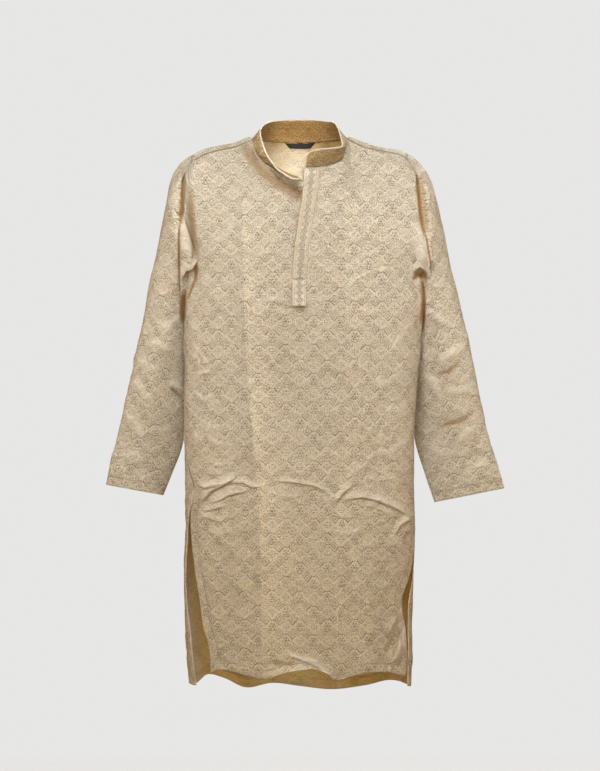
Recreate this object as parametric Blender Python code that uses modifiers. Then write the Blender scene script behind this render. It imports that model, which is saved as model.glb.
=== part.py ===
"""Kurta tunic: a long straight shirt with a stand collar, a half-open neck slit and side slits.

It is built the way it is cut: front, back, two sleeves, collar band, placket strip with its tab, and
a neck label. The cloth keeps the hollow form it has when worn. Metres, +Z up, the front faces -Y.
The origin lies between the two shoulder points at the base of the neck.
"""

from typing import NamedTuple

import bmesh
import bpy
import numpy as np

# Driving dimensions.
CLOTH_WALL = 0.0015
BAND_WALL = 0.0024
STRIP_WALL = 0.0012
LABEL_WALL = 0.0008
SEAM_GAP = 0.0004
WELD = 0.00002

CHEST_LEVEL = -0.258
HEM_LEVEL = -1.020
HEM_REACH = 0.150
NECK_SLIT_OFFSET = 0.007
SLIT_SET_BACK = 0.0020
SLIT_HALF_GAP = 0.0005

# How far the collar band stops short of the neckline's two ends.
BAND_SHORT_LEFT = 0.011
BAND_SHORT_RIGHT = 0.0145

STRIP_WIDTH = 0.030
STRIP_COVER = 0.008
STRIP_END = -0.266
TAB_TOP = -0.2665
TAB_HEIGHT = 0.049
TAB_WIDTH = 0.025
TAB_CENTRE = -0.001
TAB_LIFT = 0.003

LABEL_TOP_WIDTH = 0.062
LABEL_FOOT_WIDTH = 0.040
LABEL_HEIGHT = 0.012
# Forward and upward parts of the way the label hangs, and of the way it stands off the neck seam.
LABEL_HANG = (0.28, -0.96)
LABEL_INWARD = (-0.94, -0.35)

ARMHOLE_GAP = 0.0014
# How a sleeve leaves its armhole at the top and at the underarm: outward and upward parts.
SLEEVE_LEAVES_TOP = (0.98, -0.56)
SLEEVE_LEAVES_UNDERARM = (0.95, -0.30)

# How square the body's rings are: 1 is an ellipse, less is squarer.
BODY_ROUND = 2 / 2.4

# Mesh density.
HALF_COLUMNS = 16
NECK_COLUMNS = 8
SKIRT_ROWS = 22
YOKE_ROWS = 12
YOKE_CROWDING = 0.16
SLEEVE_COLUMNS = 2 * YOKE_ROWS
CAP_ROWS = 6
ARM_ROWS = 13
BAND_ROWS = 3
STRIP_COLUMNS = 3
TAB_ROWS = 4
TAB_COLUMNS = 3
LABEL_ROWS = 2
LABEL_COLUMNS = 8
RING_SAMPLES = 121

# How quickly the armhole's pull and the slit's set-back fade across a half panel.
ARMHOLE_PULL_FADE = 3
SLIT_FADE = 4

UP = np.array((0.0, 0.0, 1.0))


class Girth(NamedTuple):
    """Half sizes of the body's ring at one height, measured from the neck's centre line."""

    height: float
    left: float
    right: float
    front: float
    back: float


class Edges(NamedTuple):
    """Where each panel's side edge stands, in degrees round the ring from centre front."""

    height: float
    front_left: float
    back_left: float
    front_right: float
    back_right: float


class HemPoint(NamedTuple):
    """A hem's height at one place across the body."""

    across: float
    height: float


class Point(NamedTuple):
    """A place on a seam line."""

    x: float
    y: float
    z: float


class Station(NamedTuple):
    """One ring of a sleeve: its outer edge, its inner edge and half its thickness."""

    outer: Point
    inner: Point
    depth: float


class Fold(NamedTuple):
    """A soft ridge, or a trough where raised is below zero, between two places seen from the front."""

    x_start: float
    z_start: float
    x_end: float
    z_end: float
    width: float
    raised: float


BODY = (
    Girth(-0.258, 0.214, 0.231, 0.106, 0.098),
    Girth(-0.300, 0.219, 0.235, 0.106, 0.098),
    Girth(-0.345, 0.220, 0.232, 0.104, 0.096),
    Girth(-0.420, 0.220, 0.226, 0.100, 0.092),
    Girth(-0.575, 0.220, 0.217, 0.096, 0.088),
    Girth(-0.665, 0.218, 0.217, 0.096, 0.090),
    Girth(-0.735, 0.218, 0.219, 0.098, 0.092),
    Girth(-0.800, 0.220, 0.217, 0.099, 0.093),
    Girth(-0.870, 0.220, 0.214, 0.100, 0.095),
    Girth(-0.950, 0.216, 0.213, 0.101, 0.097),
    Girth(-1.050, 0.208, 0.211, 0.102, 0.098),
)

SIDE_EDGES = (
    Edges(-0.258, -90, -90, 90, 90),
    Edges(-0.480, -90, -90, 91, 91),
    Edges(-0.600, -79, -79, 92, 92),
    Edges(-0.668, -65, -65, 92, 92),
    Edges(-0.720, -71, -74, 89, 91),
    Edges(-0.770, -67, -76, 83, 88),
    Edges(-0.830, -61, -78, 71, 82),
    Edges(-0.870, -57, -77, 62, 74),
    Edges(-0.925, -54, -72, 67, 72),
    Edges(-0.960, -50, -70, 70, 73),
    Edges(-1.050, -51, -66, 68, 73),
)

FRONT_HEM = (
    HemPoint(-0.190, -1.025),
    HemPoint(-0.154, -1.003),
    HemPoint(-0.114, -1.010),
    HemPoint(-0.060, -1.020),
    HemPoint(-0.036, -1.011),
    HemPoint(0.015, -1.003),
    HemPoint(0.049, -1.014),
    HemPoint(0.070, -1.022),
    HemPoint(0.104, -1.013),
    HemPoint(0.160, -1.008),
    HemPoint(0.205, -1.018),
)

BACK_HEM = (
    HemPoint(-0.210, -1.031),
    HemPoint(-0.199, -1.034),
    HemPoint(-0.180, -1.019),
    HemPoint(-0.150, -1.024),
    HemPoint(-0.105, -1.044),
    HemPoint(-0.055, -1.036),
    HemPoint(0.000, -1.042),
    HemPoint(0.060, -1.048),
    HemPoint(0.125, -1.040),
    HemPoint(0.180, -1.029),
    HemPoint(0.210, -1.037),
)

# Armholes run from the underarm up to the end of the shoulder seam.
ARMHOLE_FRONT_LEFT = (
    Point(-0.214, 0.000, -0.258),
    Point(-0.210, -0.026, -0.251),
    Point(-0.204, -0.046, -0.230),
    Point(-0.210, -0.059, -0.190),
    Point(-0.221, -0.060, -0.145),
    Point(-0.224, -0.053, -0.105),
    Point(-0.220, -0.044, -0.070),
    Point(-0.206, -0.026, -0.040),
)

ARMHOLE_BACK_LEFT = (
    Point(-0.214, 0.000, -0.258),
    Point(-0.214, 0.030, -0.246),
    Point(-0.214, 0.052, -0.215),
    Point(-0.219, 0.062, -0.165),
    Point(-0.222, 0.058, -0.115),
    Point(-0.221, 0.043, -0.072),
    Point(-0.215, 0.022, -0.042),
    Point(-0.209, -0.002, -0.030),
    Point(-0.206, -0.026, -0.040),
)

ARMHOLE_FRONT_RIGHT = (
    Point(0.231, 0.000, -0.258),
    Point(0.240, -0.034, -0.246),
    Point(0.243, -0.052, -0.222),
    Point(0.236, -0.060, -0.185),
    Point(0.229, -0.060, -0.145),
    Point(0.225, -0.053, -0.105),
    Point(0.220, -0.044, -0.066),
    Point(0.203, -0.025, -0.035),
)

ARMHOLE_BACK_RIGHT = (
    Point(0.231, 0.000, -0.258),
    Point(0.229, 0.030, -0.246),
    Point(0.228, 0.052, -0.215),
    Point(0.227, 0.062, -0.165),
    Point(0.226, 0.058, -0.115),
    Point(0.223, 0.043, -0.072),
    Point(0.215, 0.022, -0.040),
    Point(0.207, -0.002, -0.027),
    Point(0.203, -0.025, -0.035),
)

# Shoulder seams run from the armhole to the neck.
SHOULDER_LEFT = (
    Point(-0.206, -0.026, -0.040),
    Point(-0.179, -0.017, -0.026),
    Point(-0.150, -0.012, -0.018),
    Point(-0.125, -0.009, -0.013),
    Point(-0.091, -0.004, 0.002),
)

SHOULDER_RIGHT = (
    Point(0.203, -0.025, -0.035),
    Point(0.185, -0.018, -0.026),
    Point(0.158, -0.012, -0.021),
    Point(0.118, -0.008, -0.011),
    Point(0.091, -0.004, 0.002),
)

# Necklines run from the shoulder point to the centre.
NECK_FRONT_LEFT = (
    Point(-0.091, -0.004, 0.002),
    Point(-0.085, -0.026, -0.015),
    Point(-0.074, -0.046, -0.036),
    Point(-0.055, -0.060, -0.050),
    Point(-0.034, -0.070, -0.063),
    Point(0.008, -0.080, -0.080),
)

NECK_FRONT_RIGHT = (
    Point(0.091, -0.004, 0.002),
    Point(0.088, -0.025, -0.010),
    Point(0.084, -0.044, -0.024),
    Point(0.078, -0.058, -0.038),
    Point(0.066, -0.067, -0.045),
    Point(0.034, -0.078, -0.053),
    Point(0.0145, -0.082, -0.056),
)

NECK_BACK_LEFT = (
    Point(-0.091, -0.004, 0.002),
    Point(-0.080, 0.025, 0.003),
    Point(-0.060, 0.045, 0.001),
    Point(-0.030, 0.056, -0.001),
    Point(0.000, 0.060, -0.002),
)

NECK_BACK_RIGHT = tuple(Point(-p.x, p.y, p.z) for p in NECK_BACK_LEFT)

# The collar's rim, one point for each neckline point, from its fallen left end round to its right end.
COLLAR_RIM = (
    Point(-0.001, -0.1120, -0.0790),
    Point(-0.021, -0.1040, -0.0740),
    Point(-0.044, -0.0950, -0.0580),
    Point(-0.062, -0.0790, -0.0330),
    Point(-0.072, -0.0560, -0.0050),
    Point(-0.0755, -0.0270, 0.0180),
    Point(-0.064, 0.0120, 0.0330),
    Point(-0.049, 0.0370, 0.0380),
    Point(-0.025, 0.0500, 0.0405),
    Point(0.000, 0.0540, 0.0410),
    Point(0.026, 0.0500, 0.0405),
    Point(0.050, 0.0370, 0.0380),
    Point(0.066, 0.0120, 0.0330),
    Point(0.075, -0.0260, 0.0150),
    Point(0.079, -0.0500, -0.0020),
    Point(0.081, -0.0720, -0.0120),
    Point(0.078, -0.0850, -0.0165),
    Point(0.062, -0.0930, -0.0190),
    Point(0.036, -0.1000, -0.0215),
    Point(0.011, -0.1040, -0.0270),
)

SLEEVE_LEFT = (
    Station(Point(-0.262, 0.020, -0.156), Point(-0.215, 0.050, -0.308), 0.050),
    Station(Point(-0.281, 0.024, -0.247), Point(-0.213, 0.064, -0.366), 0.047),
    Station(Point(-0.302, 0.028, -0.353), Point(-0.211, 0.068, -0.440), 0.042),
    Station(Point(-0.322, 0.030, -0.445), Point(-0.213, 0.066, -0.510), 0.037),
    Station(Point(-0.342, 0.030, -0.536), Point(-0.225, 0.062, -0.583), 0.030),
    Station(Point(-0.357, 0.028, -0.597), Point(-0.243, 0.052, -0.632), 0.026),
    Station(Point(-0.370, 0.026, -0.655), Point(-0.2605, 0.044, -0.6755), 0.022),
)

SLEEVE_RIGHT = (
    Station(Point(0.269, 0.020, -0.156), Point(0.2335, 0.050, -0.310), 0.050),
    Station(Point(0.290, 0.024, -0.247), Point(0.223, 0.066, -0.372), 0.046),
    Station(Point(0.3145, 0.028, -0.353), Point(0.216, 0.068, -0.445), 0.042),
    Station(Point(0.334, 0.030, -0.445), Point(0.213, 0.068, -0.515), 0.034),
    Station(Point(0.354, 0.030, -0.536), Point(0.220, 0.062, -0.575), 0.024),
    Station(Point(0.370, 0.028, -0.597), Point(0.238, 0.052, -0.634), 0.016),
    Station(Point(0.3885, 0.026, -0.662), Point(0.2565, 0.044, -0.689), 0.011),
)

FRONT_FOLDS = (
    Fold(-0.085, -0.640, -0.095, -0.990, 0.022, 0.004),
    Fold(-0.040, -0.640, -0.045, -0.990, 0.026, -0.003),
    Fold(0.072, -0.620, 0.070, -1.000, 0.020, 0.004),
    Fold(0.115, -0.700, 0.120, -1.000, 0.024, -0.003),
    Fold(-0.195, -0.660, 0.020, -0.650, 0.024, 0.004),
    Fold(0.020, -0.650, 0.200, -0.715, 0.026, 0.004),
    Fold(-0.050, -1.030, 0.038, -1.020, 0.022, 0.005),
)

BACK_FOLDS = (
    Fold(-0.120, -0.560, -0.135, -1.020, 0.028, 0.006),
    Fold(-0.060, -0.640, -0.062, -1.030, 0.026, -0.005),
    Fold(0.010, -0.520, 0.004, -1.030, 0.030, 0.006),
    Fold(0.075, -0.600, 0.084, -1.030, 0.028, -0.005),
    Fold(0.130, -0.500, 0.142, -1.020, 0.026, 0.006),
    Fold(-0.150, -0.120, -0.040, -0.210, 0.030, -0.004),
    Fold(0.150, -0.120, 0.040, -0.210, 0.030, -0.004),
    Fold(-0.180, -0.655, 0.180, -0.650, 0.026, 0.003),
)

# The cloth's direction where a half panel reaches its head, from its side edge to its centre.
FRONT_AIMS = ((0, 0, 0.70, 0.70), (0.5, 0, 0.70, 0.70), (1, 0, 0.35, 0.94))
BACK_AIMS = (
    (0, 0, -0.70, -0.70),
    (0.5, 0, -0.85, -0.50),
    (0.62, 0, -0.98, 0.20),
    (1, 0, -0.35, 0.94),
)


def along(table, at):
    """The other columns of a table, read smoothly where its first column is `at`."""
    rows = np.array(sorted(tuple(row) for row in table))
    knots, values = rows[:, 0], rows[:, 1:]
    at = np.clip(np.asarray(at, dtype=float), knots[0], knots[-1])
    slopes = np.gradient(values, knots, axis=0)
    low = np.clip(np.searchsorted(knots, at, side="right") - 1, 0, len(knots) - 2)
    span = (knots[low + 1] - knots[low])[..., None]
    t = (at - knots[low])[..., None] / span
    level = values[low] * (1 + 2 * t) * (1 - t) ** 2 + values[low + 1] * t * t * (3 - 2 * t)
    return level + span * (slopes[low] * t * (1 - t) ** 2 + slopes[low + 1] * t * t * (t - 1))


def lengths(points):
    """How far along a row of points each one lies, as a share of the whole."""
    steps = np.linalg.norm(np.diff(points, axis=0), axis=1)
    return np.concatenate([[0], np.cumsum(steps)]) / steps.sum()


def curve(points, count):
    """A row of points, evenly spaced, on a smooth curve through the given ones."""
    return along(np.column_stack([lengths(points), points]), np.linspace(0, 1, count))


def ring(height, degrees):
    """Points of the body's ring at one height."""
    left, right, front, back = along(BODY, height)
    turn = np.radians(degrees)
    side, ahead = np.sin(turn), np.cos(turn)
    x = np.where(side < 0, left, right) * np.sign(side) * np.abs(side) ** BODY_ROUND
    y = -np.where(ahead > 0, front, back) * np.sign(ahead) * np.abs(ahead) ** BODY_ROUND
    return np.column_stack([x, y, np.full_like(x, height)])


def ring_run(height, start, end, count):
    """Evenly spaced points of the ring between two angles."""
    dense = ring(height, np.linspace(start, end, RING_SAMPLES))
    wanted = np.linspace(0, 1, count)
    return np.column_stack([np.interp(wanted, lengths(dense), axis) for axis in dense.T])


def centre_front(height):
    """The angle of the centre front line, which the neck slit ends on."""
    left = along(BODY, height)[0]
    return -np.degrees(np.arcsin((NECK_SLIT_OFFSET / left) ** (1 / BODY_ROUND)))


def skirt(edge, centre, hem):
    """Half a panel from the hem up to the chest, its columns from the side edge to the centre."""
    rows = []
    for level in np.linspace(HEM_LEVEL, CHEST_LEVEL, SKIRT_ROWS + 1):
        row = ring_run(level, edge(level), centre(level), HALF_COLUMNS + 1)
        near = max(0.0, 1 - (level - HEM_LEVEL) / HEM_REACH) ** 2
        row[:, 2] += near * (along(hem, row[:, 0])[:, 0] - HEM_LEVEL)
        rows.append(row)
    return np.array(rows)


def yoke(foot, head, aim, armhole):
    """Half a panel above the chest: columns that leave `foot` straight up and reach `head` along `aim`."""
    even = np.linspace(0, 1, YOKE_ROWS + 1)
    v = (even + YOKE_CROWDING * np.sin(np.pi * even))[:, None, None]
    reach = np.linalg.norm(head - foot, axis=1)[:, None]
    rows = foot * (1 + 2 * v) * (1 - v) ** 2 + head * v * v * (3 - 2 * v)
    rows = rows + reach * (UP * v * (1 - v) ** 2 + aim * v * v * (v - 1))
    pull = curve(armhole, YOKE_ROWS + 1) - rows[:, 0]
    share = np.linspace(1, 0, HALF_COLUMNS + 1) ** ARMHOLE_PULL_FADE
    return rows + pull[:, None, :] * share[None, :, None]


def half_panel(edge, centre, hem, armhole, shoulder, neck, aims):
    """Half a panel from hem to neck. `aims` gives the cloth's direction along its head, by share."""
    lower = skirt(edge, centre, hem)
    over_shoulder = curve(shoulder, HALF_COLUMNS - NECK_COLUMNS + 1)
    head = np.vstack([over_shoulder, curve(neck, NECK_COLUMNS + 1)[1:]])
    aim = along(aims, np.linspace(0, 1, HALF_COLUMNS + 1))
    aim /= np.linalg.norm(aim, axis=1)[:, None]
    return np.vstack([lower, yoke(lower[-1], head, aim, armhole)[1:]])


def normals(grid):
    """Outward directions over a grid of points."""
    across = np.gradient(grid, axis=1)
    upward = np.gradient(grid, axis=0)
    found = np.cross(across, upward)
    return found / np.linalg.norm(found, axis=2)[..., None]


def folded(grid, folds):
    """The grid with its folds raised or sunk along its outward directions."""
    height = np.zeros(grid.shape[:2])
    place = grid[..., [0, 2]]
    for fold in folds:
        start = np.array((fold.x_start, fold.z_start))
        run = np.array((fold.x_end, fold.z_end)) - start
        length = np.linalg.norm(run)
        share = (place - start) @ run / length**2
        nearest = start + np.clip(share, 0, 1)[..., None] * run
        distance = np.linalg.norm(place - nearest, axis=2)
        height += fold.raised * np.exp(-((distance / fold.width) ** 2))
    return grid + normals(grid) * height[..., None]


def drawn_back(edge, inner, gap):
    """Edge points moved toward the points beside them by a panel's share of a seam's gap."""
    step = inner - edge
    return edge + step / np.linalg.norm(step, axis=1)[:, None] * gap


def inset(grid, side):
    """The grid with its side and shoulder edges drawn back. `side` is -1 where its first column is the side."""
    grid = grid.copy()
    edge, inner = (0, 1) if side < 0 else (-1, -2)
    shoulder = HALF_COLUMNS - NECK_COLUMNS + 1
    seam = slice(0, shoulder) if side < 0 else slice(-shoulder, None)
    grid[:, edge] = drawn_back(grid[:, edge], grid[:, inner], SEAM_GAP)
    grid[-1, seam] = drawn_back(grid[-1, seam], grid[-2, seam], 2 * SEAM_GAP)
    return grid


def material(name, colour, roughness):
    """A plain Principled finish."""
    made = bpy.data.materials.new(name)
    made.use_nodes = True
    finish = made.node_tree.nodes["Principled BSDF"]
    finish.inputs["Base Color"].default_value = (*colour, 1.0)
    finish.inputs["Roughness"].default_value = roughness
    finish.inputs["Metallic"].default_value = 0.0
    made.diffuse_color = (*colour, 1.0)
    return made


def sheet(name, grids, wall, finish, garment):
    """A cloth wall through one or more grids of outer points, thickened inward."""
    shape = bmesh.new()
    for grid in grids:
        rows, columns = grid.shape[0] - 1, grid.shape[1] - 1
        made = bmesh.ops.create_grid(shape, x_segments=columns, y_segments=rows, size=1)
        for vert in made["verts"]:
            column = round((vert.co.x + 1) / 2 * columns)
            row = round((vert.co.y + 1) / 2 * rows)
            vert.co = grid[row, column]
    bmesh.ops.remove_doubles(shape, verts=shape.verts, dist=WELD)
    mesh = bpy.data.meshes.new(name)
    shape.to_mesh(mesh)
    shape.free()
    mesh.materials.append(finish)
    mesh.shade_smooth()
    piece = bpy.data.objects.new(name, mesh)
    thicken = piece.modifiers.new("wall", "SOLIDIFY")
    thicken.thickness = wall
    thicken.offset = -1
    garment.collection.objects.link(piece)
    piece.parent = garment.anchor
    return piece


class Garment(NamedTuple):
    """The collection that holds the pieces and the empty that carries them."""

    collection: bpy.types.Collection
    anchor: bpy.types.Object


def start_garment():
    """An empty scene with the garment's collection and anchor."""
    for old in list(bpy.data.objects):
        bpy.data.objects.remove(old)
    collection = bpy.data.collections.new("kurta_tunic")
    bpy.context.scene.collection.children.link(collection)
    anchor = bpy.data.objects.new("shoulder_line", None)
    collection.objects.link(anchor)
    return Garment(collection, anchor)


def front_halves():
    """The front's two halves, which meet at the centre line below the neck slit."""
    left = half_panel(
        lambda level: along(SIDE_EDGES, level)[0],
        centre_front,
        FRONT_HEM,
        ARMHOLE_FRONT_LEFT,
        SHOULDER_LEFT,
        NECK_FRONT_LEFT,
        FRONT_AIMS,
    )
    right = half_panel(
        lambda level: along(SIDE_EDGES, level)[2],
        centre_front,
        FRONT_HEM,
        ARMHOLE_FRONT_RIGHT,
        SHOULDER_RIGHT,
        NECK_FRONT_RIGHT,
        FRONT_AIMS,
    )[:, ::-1]
    slit_rows = slice(SKIRT_ROWS + 1, None)
    under = np.linspace(0, 1, HALF_COLUMNS + 1) ** SLIT_FADE
    left[slit_rows, :, 1] += SLIT_SET_BACK * under
    left[slit_rows, -1, 0] -= SLIT_HALF_GAP
    right[slit_rows, 0, 0] += SLIT_HALF_GAP
    return inset(folded(left, FRONT_FOLDS), -1), inset(folded(right, FRONT_FOLDS), 1)


def back_halves():
    """The back's two halves, from the viewer's right round to the left."""
    right = half_panel(
        lambda level: along(SIDE_EDGES, level)[3],
        lambda level: 180,
        BACK_HEM,
        ARMHOLE_BACK_RIGHT,
        SHOULDER_RIGHT,
        NECK_BACK_RIGHT,
        BACK_AIMS,
    )
    left = half_panel(
        lambda level: along(SIDE_EDGES, level)[1],
        lambda level: -180,
        BACK_HEM,
        ARMHOLE_BACK_LEFT,
        SHOULDER_LEFT,
        NECK_BACK_LEFT,
        BACK_AIMS,
    )[:, ::-1]
    return inset(folded(right, BACK_FOLDS), -1), inset(folded(left, BACK_FOLDS), 1)


def armhole_loop(front, back):
    """The armhole as a closed row of the panels' edge points: underarm, front, shoulder, back."""
    rising = curve(front, YOKE_ROWS + 1)
    falling = curve(back, YOKE_ROWS + 1)[::-1]
    return np.vstack([rising, falling[1:]])


def clear_of(line, way):
    """The parts of some directions that lead straight away from a line, at unit length."""
    run = np.gradient(line, axis=0)
    run /= np.linalg.norm(run, axis=1)[:, None]
    away = way - np.sum(way * run, axis=1)[:, None] * run
    return away / np.linalg.norm(away, axis=1)[:, None]


def sleeve_grid(stations, front, back, side):
    """A sleeve from its armhole to its cuff. `side` is -1 on the viewer's left."""
    turn = np.linspace(0, 2 * np.pi, SLEEVE_COLUMNS + 1)
    inward = (np.cos(turn) + 1) / 2
    rows = []
    table = [(i, *s.outer, *s.inner, s.depth) for i, s in enumerate(stations)]
    for at in np.linspace(0, len(stations) - 1, ARM_ROWS + 1):
        values = along(table, at)
        outer, inner, depth = values[:3], values[3:6], values[6]
        row = outer + (inner - outer) * inward[:, None]
        row[:, 1] -= depth * np.sin(turn)
        rows.append(row)
    arm = np.array(rows)
    loop = armhole_loop(front, back)
    low = inward[:, None]
    from_top = np.array((side * SLEEVE_LEAVES_TOP[0], 0.0, SLEEVE_LEAVES_TOP[1]))
    from_underarm = np.array((side * SLEEVE_LEAVES_UNDERARM[0], 0.0, SLEEVE_LEAVES_UNDERARM[1]))
    leave = (1 - low) * from_top + low * from_underarm
    start = loop + clear_of(loop, leave) * ARMHOLE_GAP
    reach = np.linalg.norm(arm[0] - start, axis=1)[:, None]
    arrive = arm[1] - arm[0]
    arrive /= np.linalg.norm(arrive, axis=1)[:, None]
    v = np.linspace(0, 1, CAP_ROWS + 1)[:, None, None]
    cap = start * (1 + 2 * v) * (1 - v) ** 2 + arm[0] * v * v * (3 - 2 * v)
    cap = cap + reach * (leave * v * (1 - v) ** 2 + arrive * v * v * (v - 1))
    grid = np.vstack([cap[:-1], arm])
    return grid if side < 0 else grid[:, ::-1]


def band_grid():
    """The collar band, from its right end round the back to its left end."""
    runs = (NECK_FRONT_LEFT[::-1], NECK_BACK_LEFT, NECK_BACK_RIGHT[::-1], NECK_FRONT_RIGHT)
    knots = np.vstack([runs[0]] + [run[1:] for run in runs[1:]])
    columns = [curve(run, NECK_COLUMNS + 1) for run in runs]
    seam = np.vstack([columns[0]] + [run[1:] for run in columns[1:]])
    rim = along(np.column_stack([lengths(knots), COLLAR_RIM]), lengths(seam))
    seam[0] += (seam[1] - seam[0]) * (BAND_SHORT_LEFT / np.linalg.norm(seam[1] - seam[0]))
    seam[-1] += (STRIP_COVER - BAND_SHORT_RIGHT, 0, 0)
    height = rim - seam
    seam = seam + height / np.linalg.norm(height, axis=1)[:, None] * SEAM_GAP
    seam[:, 2] += 2 * SEAM_GAP
    v = np.linspace(0, 1, BAND_ROWS + 1)[:, None, None]
    return (seam + (rim - seam) * v)[:, ::-1]


def strip_grid(slit):
    """The placket strip over the neck slit, from the front's slit edge moved out."""
    rows = slit[slit[:, 2] > STRIP_END]
    below = slit[SKIRT_ROWS - 1]
    foot = rows[0] + (below - rows[0]) * (rows[0, 2] - STRIP_END) / (rows[0, 2] - below[2])
    rows = np.vstack([foot, rows])
    rise = np.gradient(rows, axis=0)
    out = np.cross((1.0, 0.0, 0.0), rise)
    out /= np.linalg.norm(out, axis=1)[:, None]
    rows = rows + out * (STRIP_WALL + SEAM_GAP)
    steps = np.linspace(-STRIP_COVER, STRIP_WIDTH - STRIP_COVER, STRIP_COLUMNS + 1)
    return rows[:, None, :] + steps[None, :, None] * np.array((1.0, 0.0, 0.0))


def tab_grid():
    """The tab below the placket strip, its foot standing a little off the cloth."""
    rows = []
    for share in np.linspace(1, 0, TAB_ROWS + 1):
        height = TAB_TOP - TAB_HEIGHT * share
        lift = STRIP_WALL + SEAM_GAP + TAB_LIFT * share**3
        front = along(BODY, height)[2]
        across = TAB_CENTRE + np.linspace(-TAB_WIDTH / 2, TAB_WIDTH / 2, TAB_COLUMNS + 1)
        rows.append([(x, -front - lift, height) for x in across])
    return np.array(rows)


def label_grid():
    """The neck label, hanging from the back neck seam on the inside."""
    neck = np.array(NECK_BACK_LEFT + NECK_BACK_RIGHT[-2::-1])
    rows = []
    for share in np.linspace(1, 0, LABEL_ROWS + 1):
        half = (LABEL_TOP_WIDTH + (LABEL_FOOT_WIDTH - LABEL_TOP_WIDTH) * share) / 2
        across = np.linspace(-half, half, LABEL_COLUMNS + 1)
        top = along(neck, across)
        drop = LABEL_HEIGHT * share * np.array(LABEL_HANG)
        inside = np.array(LABEL_INWARD) * (CLOTH_WALL + 2 * SEAM_GAP + LABEL_WALL)
        rows.append(np.column_stack([across, top + drop + inside]))
    return np.array(rows)


def build():
    """Makes every piece of the kurta."""
    garment = start_garment()
    cotton = material("kurta_cotton", (0.62, 0.50, 0.36), 0.85)
    black = material("label_satin", (0.012, 0.011, 0.010), 0.45)
    left, right = front_halves()
    sheet("front", (left, right), CLOTH_WALL, cotton, garment)
    sheet("back", back_halves(), CLOTH_WALL, cotton, garment)
    arm = sleeve_grid(SLEEVE_LEFT, ARMHOLE_FRONT_LEFT, ARMHOLE_BACK_LEFT, -1)
    sheet("sleeve_left", (arm,), CLOTH_WALL, cotton, garment)
    arm = sleeve_grid(SLEEVE_RIGHT, ARMHOLE_FRONT_RIGHT, ARMHOLE_BACK_RIGHT, 1)
    sheet("sleeve_right", (arm,), CLOTH_WALL, cotton, garment)
    sheet("collar", (band_grid(),), BAND_WALL, cotton, garment)
    sheet("placket_strip", (strip_grid(right[:, 0]),), STRIP_WALL, cotton, garment)
    sheet("placket_tab", (tab_grid(),), STRIP_WALL, cotton, garment)
    sheet("neck_label", (label_grid(),), LABEL_WALL, black, garment)


build()
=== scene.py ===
"""Kurta tunic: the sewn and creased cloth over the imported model.

Every cut piece is a thin shell on the form of its solid, with the creases, curled edges and stitching
that the solids leave out. Metres, +Z up, the front faces -Y, the origin lies between the shoulders.
"""

import logging
from dataclasses import dataclass, field
from enum import Enum
from functools import reduce
from typing import Callable, NamedTuple, Sequence

import bmesh
import bpy
import numpy as np
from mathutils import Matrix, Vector


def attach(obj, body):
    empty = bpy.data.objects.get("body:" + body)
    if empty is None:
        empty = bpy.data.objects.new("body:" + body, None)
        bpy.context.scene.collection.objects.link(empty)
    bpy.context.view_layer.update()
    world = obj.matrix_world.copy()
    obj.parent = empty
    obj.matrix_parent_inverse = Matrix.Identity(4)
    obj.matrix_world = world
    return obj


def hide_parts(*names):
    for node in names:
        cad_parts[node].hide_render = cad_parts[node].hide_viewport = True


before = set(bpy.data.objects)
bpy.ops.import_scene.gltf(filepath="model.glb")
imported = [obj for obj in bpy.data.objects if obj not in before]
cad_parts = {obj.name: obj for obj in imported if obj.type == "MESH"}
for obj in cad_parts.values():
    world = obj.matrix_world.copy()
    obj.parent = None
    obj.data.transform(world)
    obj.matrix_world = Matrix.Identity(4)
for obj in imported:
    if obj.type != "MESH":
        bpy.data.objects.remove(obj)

LOG = logging.getLogger("kurta")

# Driving dimensions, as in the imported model.
CHEST_LEVEL = -0.258
HEM_LEVEL = -1.020
HEM_REACH = 0.150
NECK_SLIT_OFFSET = 0.007
SLIT_SET_BACK = 0.0020
SLIT_HALF_GAP = 0.0005
BAND_SHORT_LEFT = 0.011
BAND_SHORT_RIGHT = 0.0145
STRIP_WIDTH = 0.030
STRIP_COVER = 0.008
STRIP_END = -0.266
TAB_TOP = -0.2665
TAB_HEIGHT = 0.049
TAB_WIDTH = 0.025
TAB_CENTRE = -0.001
TAB_LIFT = 0.0045
LABEL_TOP_WIDTH = 0.062
LABEL_FOOT_WIDTH = 0.040
LABEL_HEIGHT = 0.012
LABEL_HANG = (0.28, -0.96)
LABEL_INWARD = (-0.94, -0.35)
SLEEVE_LEAVES_TOP = (0.98, -0.56)
SLEEVE_LEAVES_UNDERARM = (0.95, -0.30)
BODY_ROUND = 2 / 2.4
YOKE_CROWDING = 0.16
ARMHOLE_PULL_FADE = 3
SLIT_FADE = 4

# Walls and gaps of the shown cloth.
MM = 0.001
CLOTH_WALL = 0.0011
BAND_WALL = 0.0022
STRIP_WALL = 0.0011
LABEL_WALL = 0.0006
SEAM_GAP = 0.0001
STRIP_STANDS_OFF = 0.0016
WELD = 0.00002

# Seams and free edges, and the painted highlight along the free edges.
EDGE_REACH = 0.040
EDGE_HIGHLIGHT_REACH = 0.0016
EDGE_HIGHLIGHT = 0.8
SLIT_TOP = -0.664
SEAM_DITCH = 0.0011
SEAM_WIDTH = 0.0030
SEAM_FADE = 0.02
ARMHOLE_SEAM_SHOWN = -0.085

# How far the edges of a panel or a sleeve hold its creases back.
SIDE_CALM_REACH = 0.016
HEAD_CALM_REACH = 0.018
OPEN_CALM = 0.35
OPEN_CALM_REACH = 0.030
UNDERARM_CALM = 0.02
CAP_CALM_REACH = 0.020
CUFF_CALM = 0.3
CUFF_CALM_REACH = 0.025

# The facing round the neck slit, which lies flat.
FACING_CENTRE = 0.004
FACING_HALF = 0.016
FACING_FADE = 0.022
FACING_FOOT = -0.33
FACING_FOOT_FADE = 0.03
SLIT_BLEND_ROWS = 6

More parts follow.
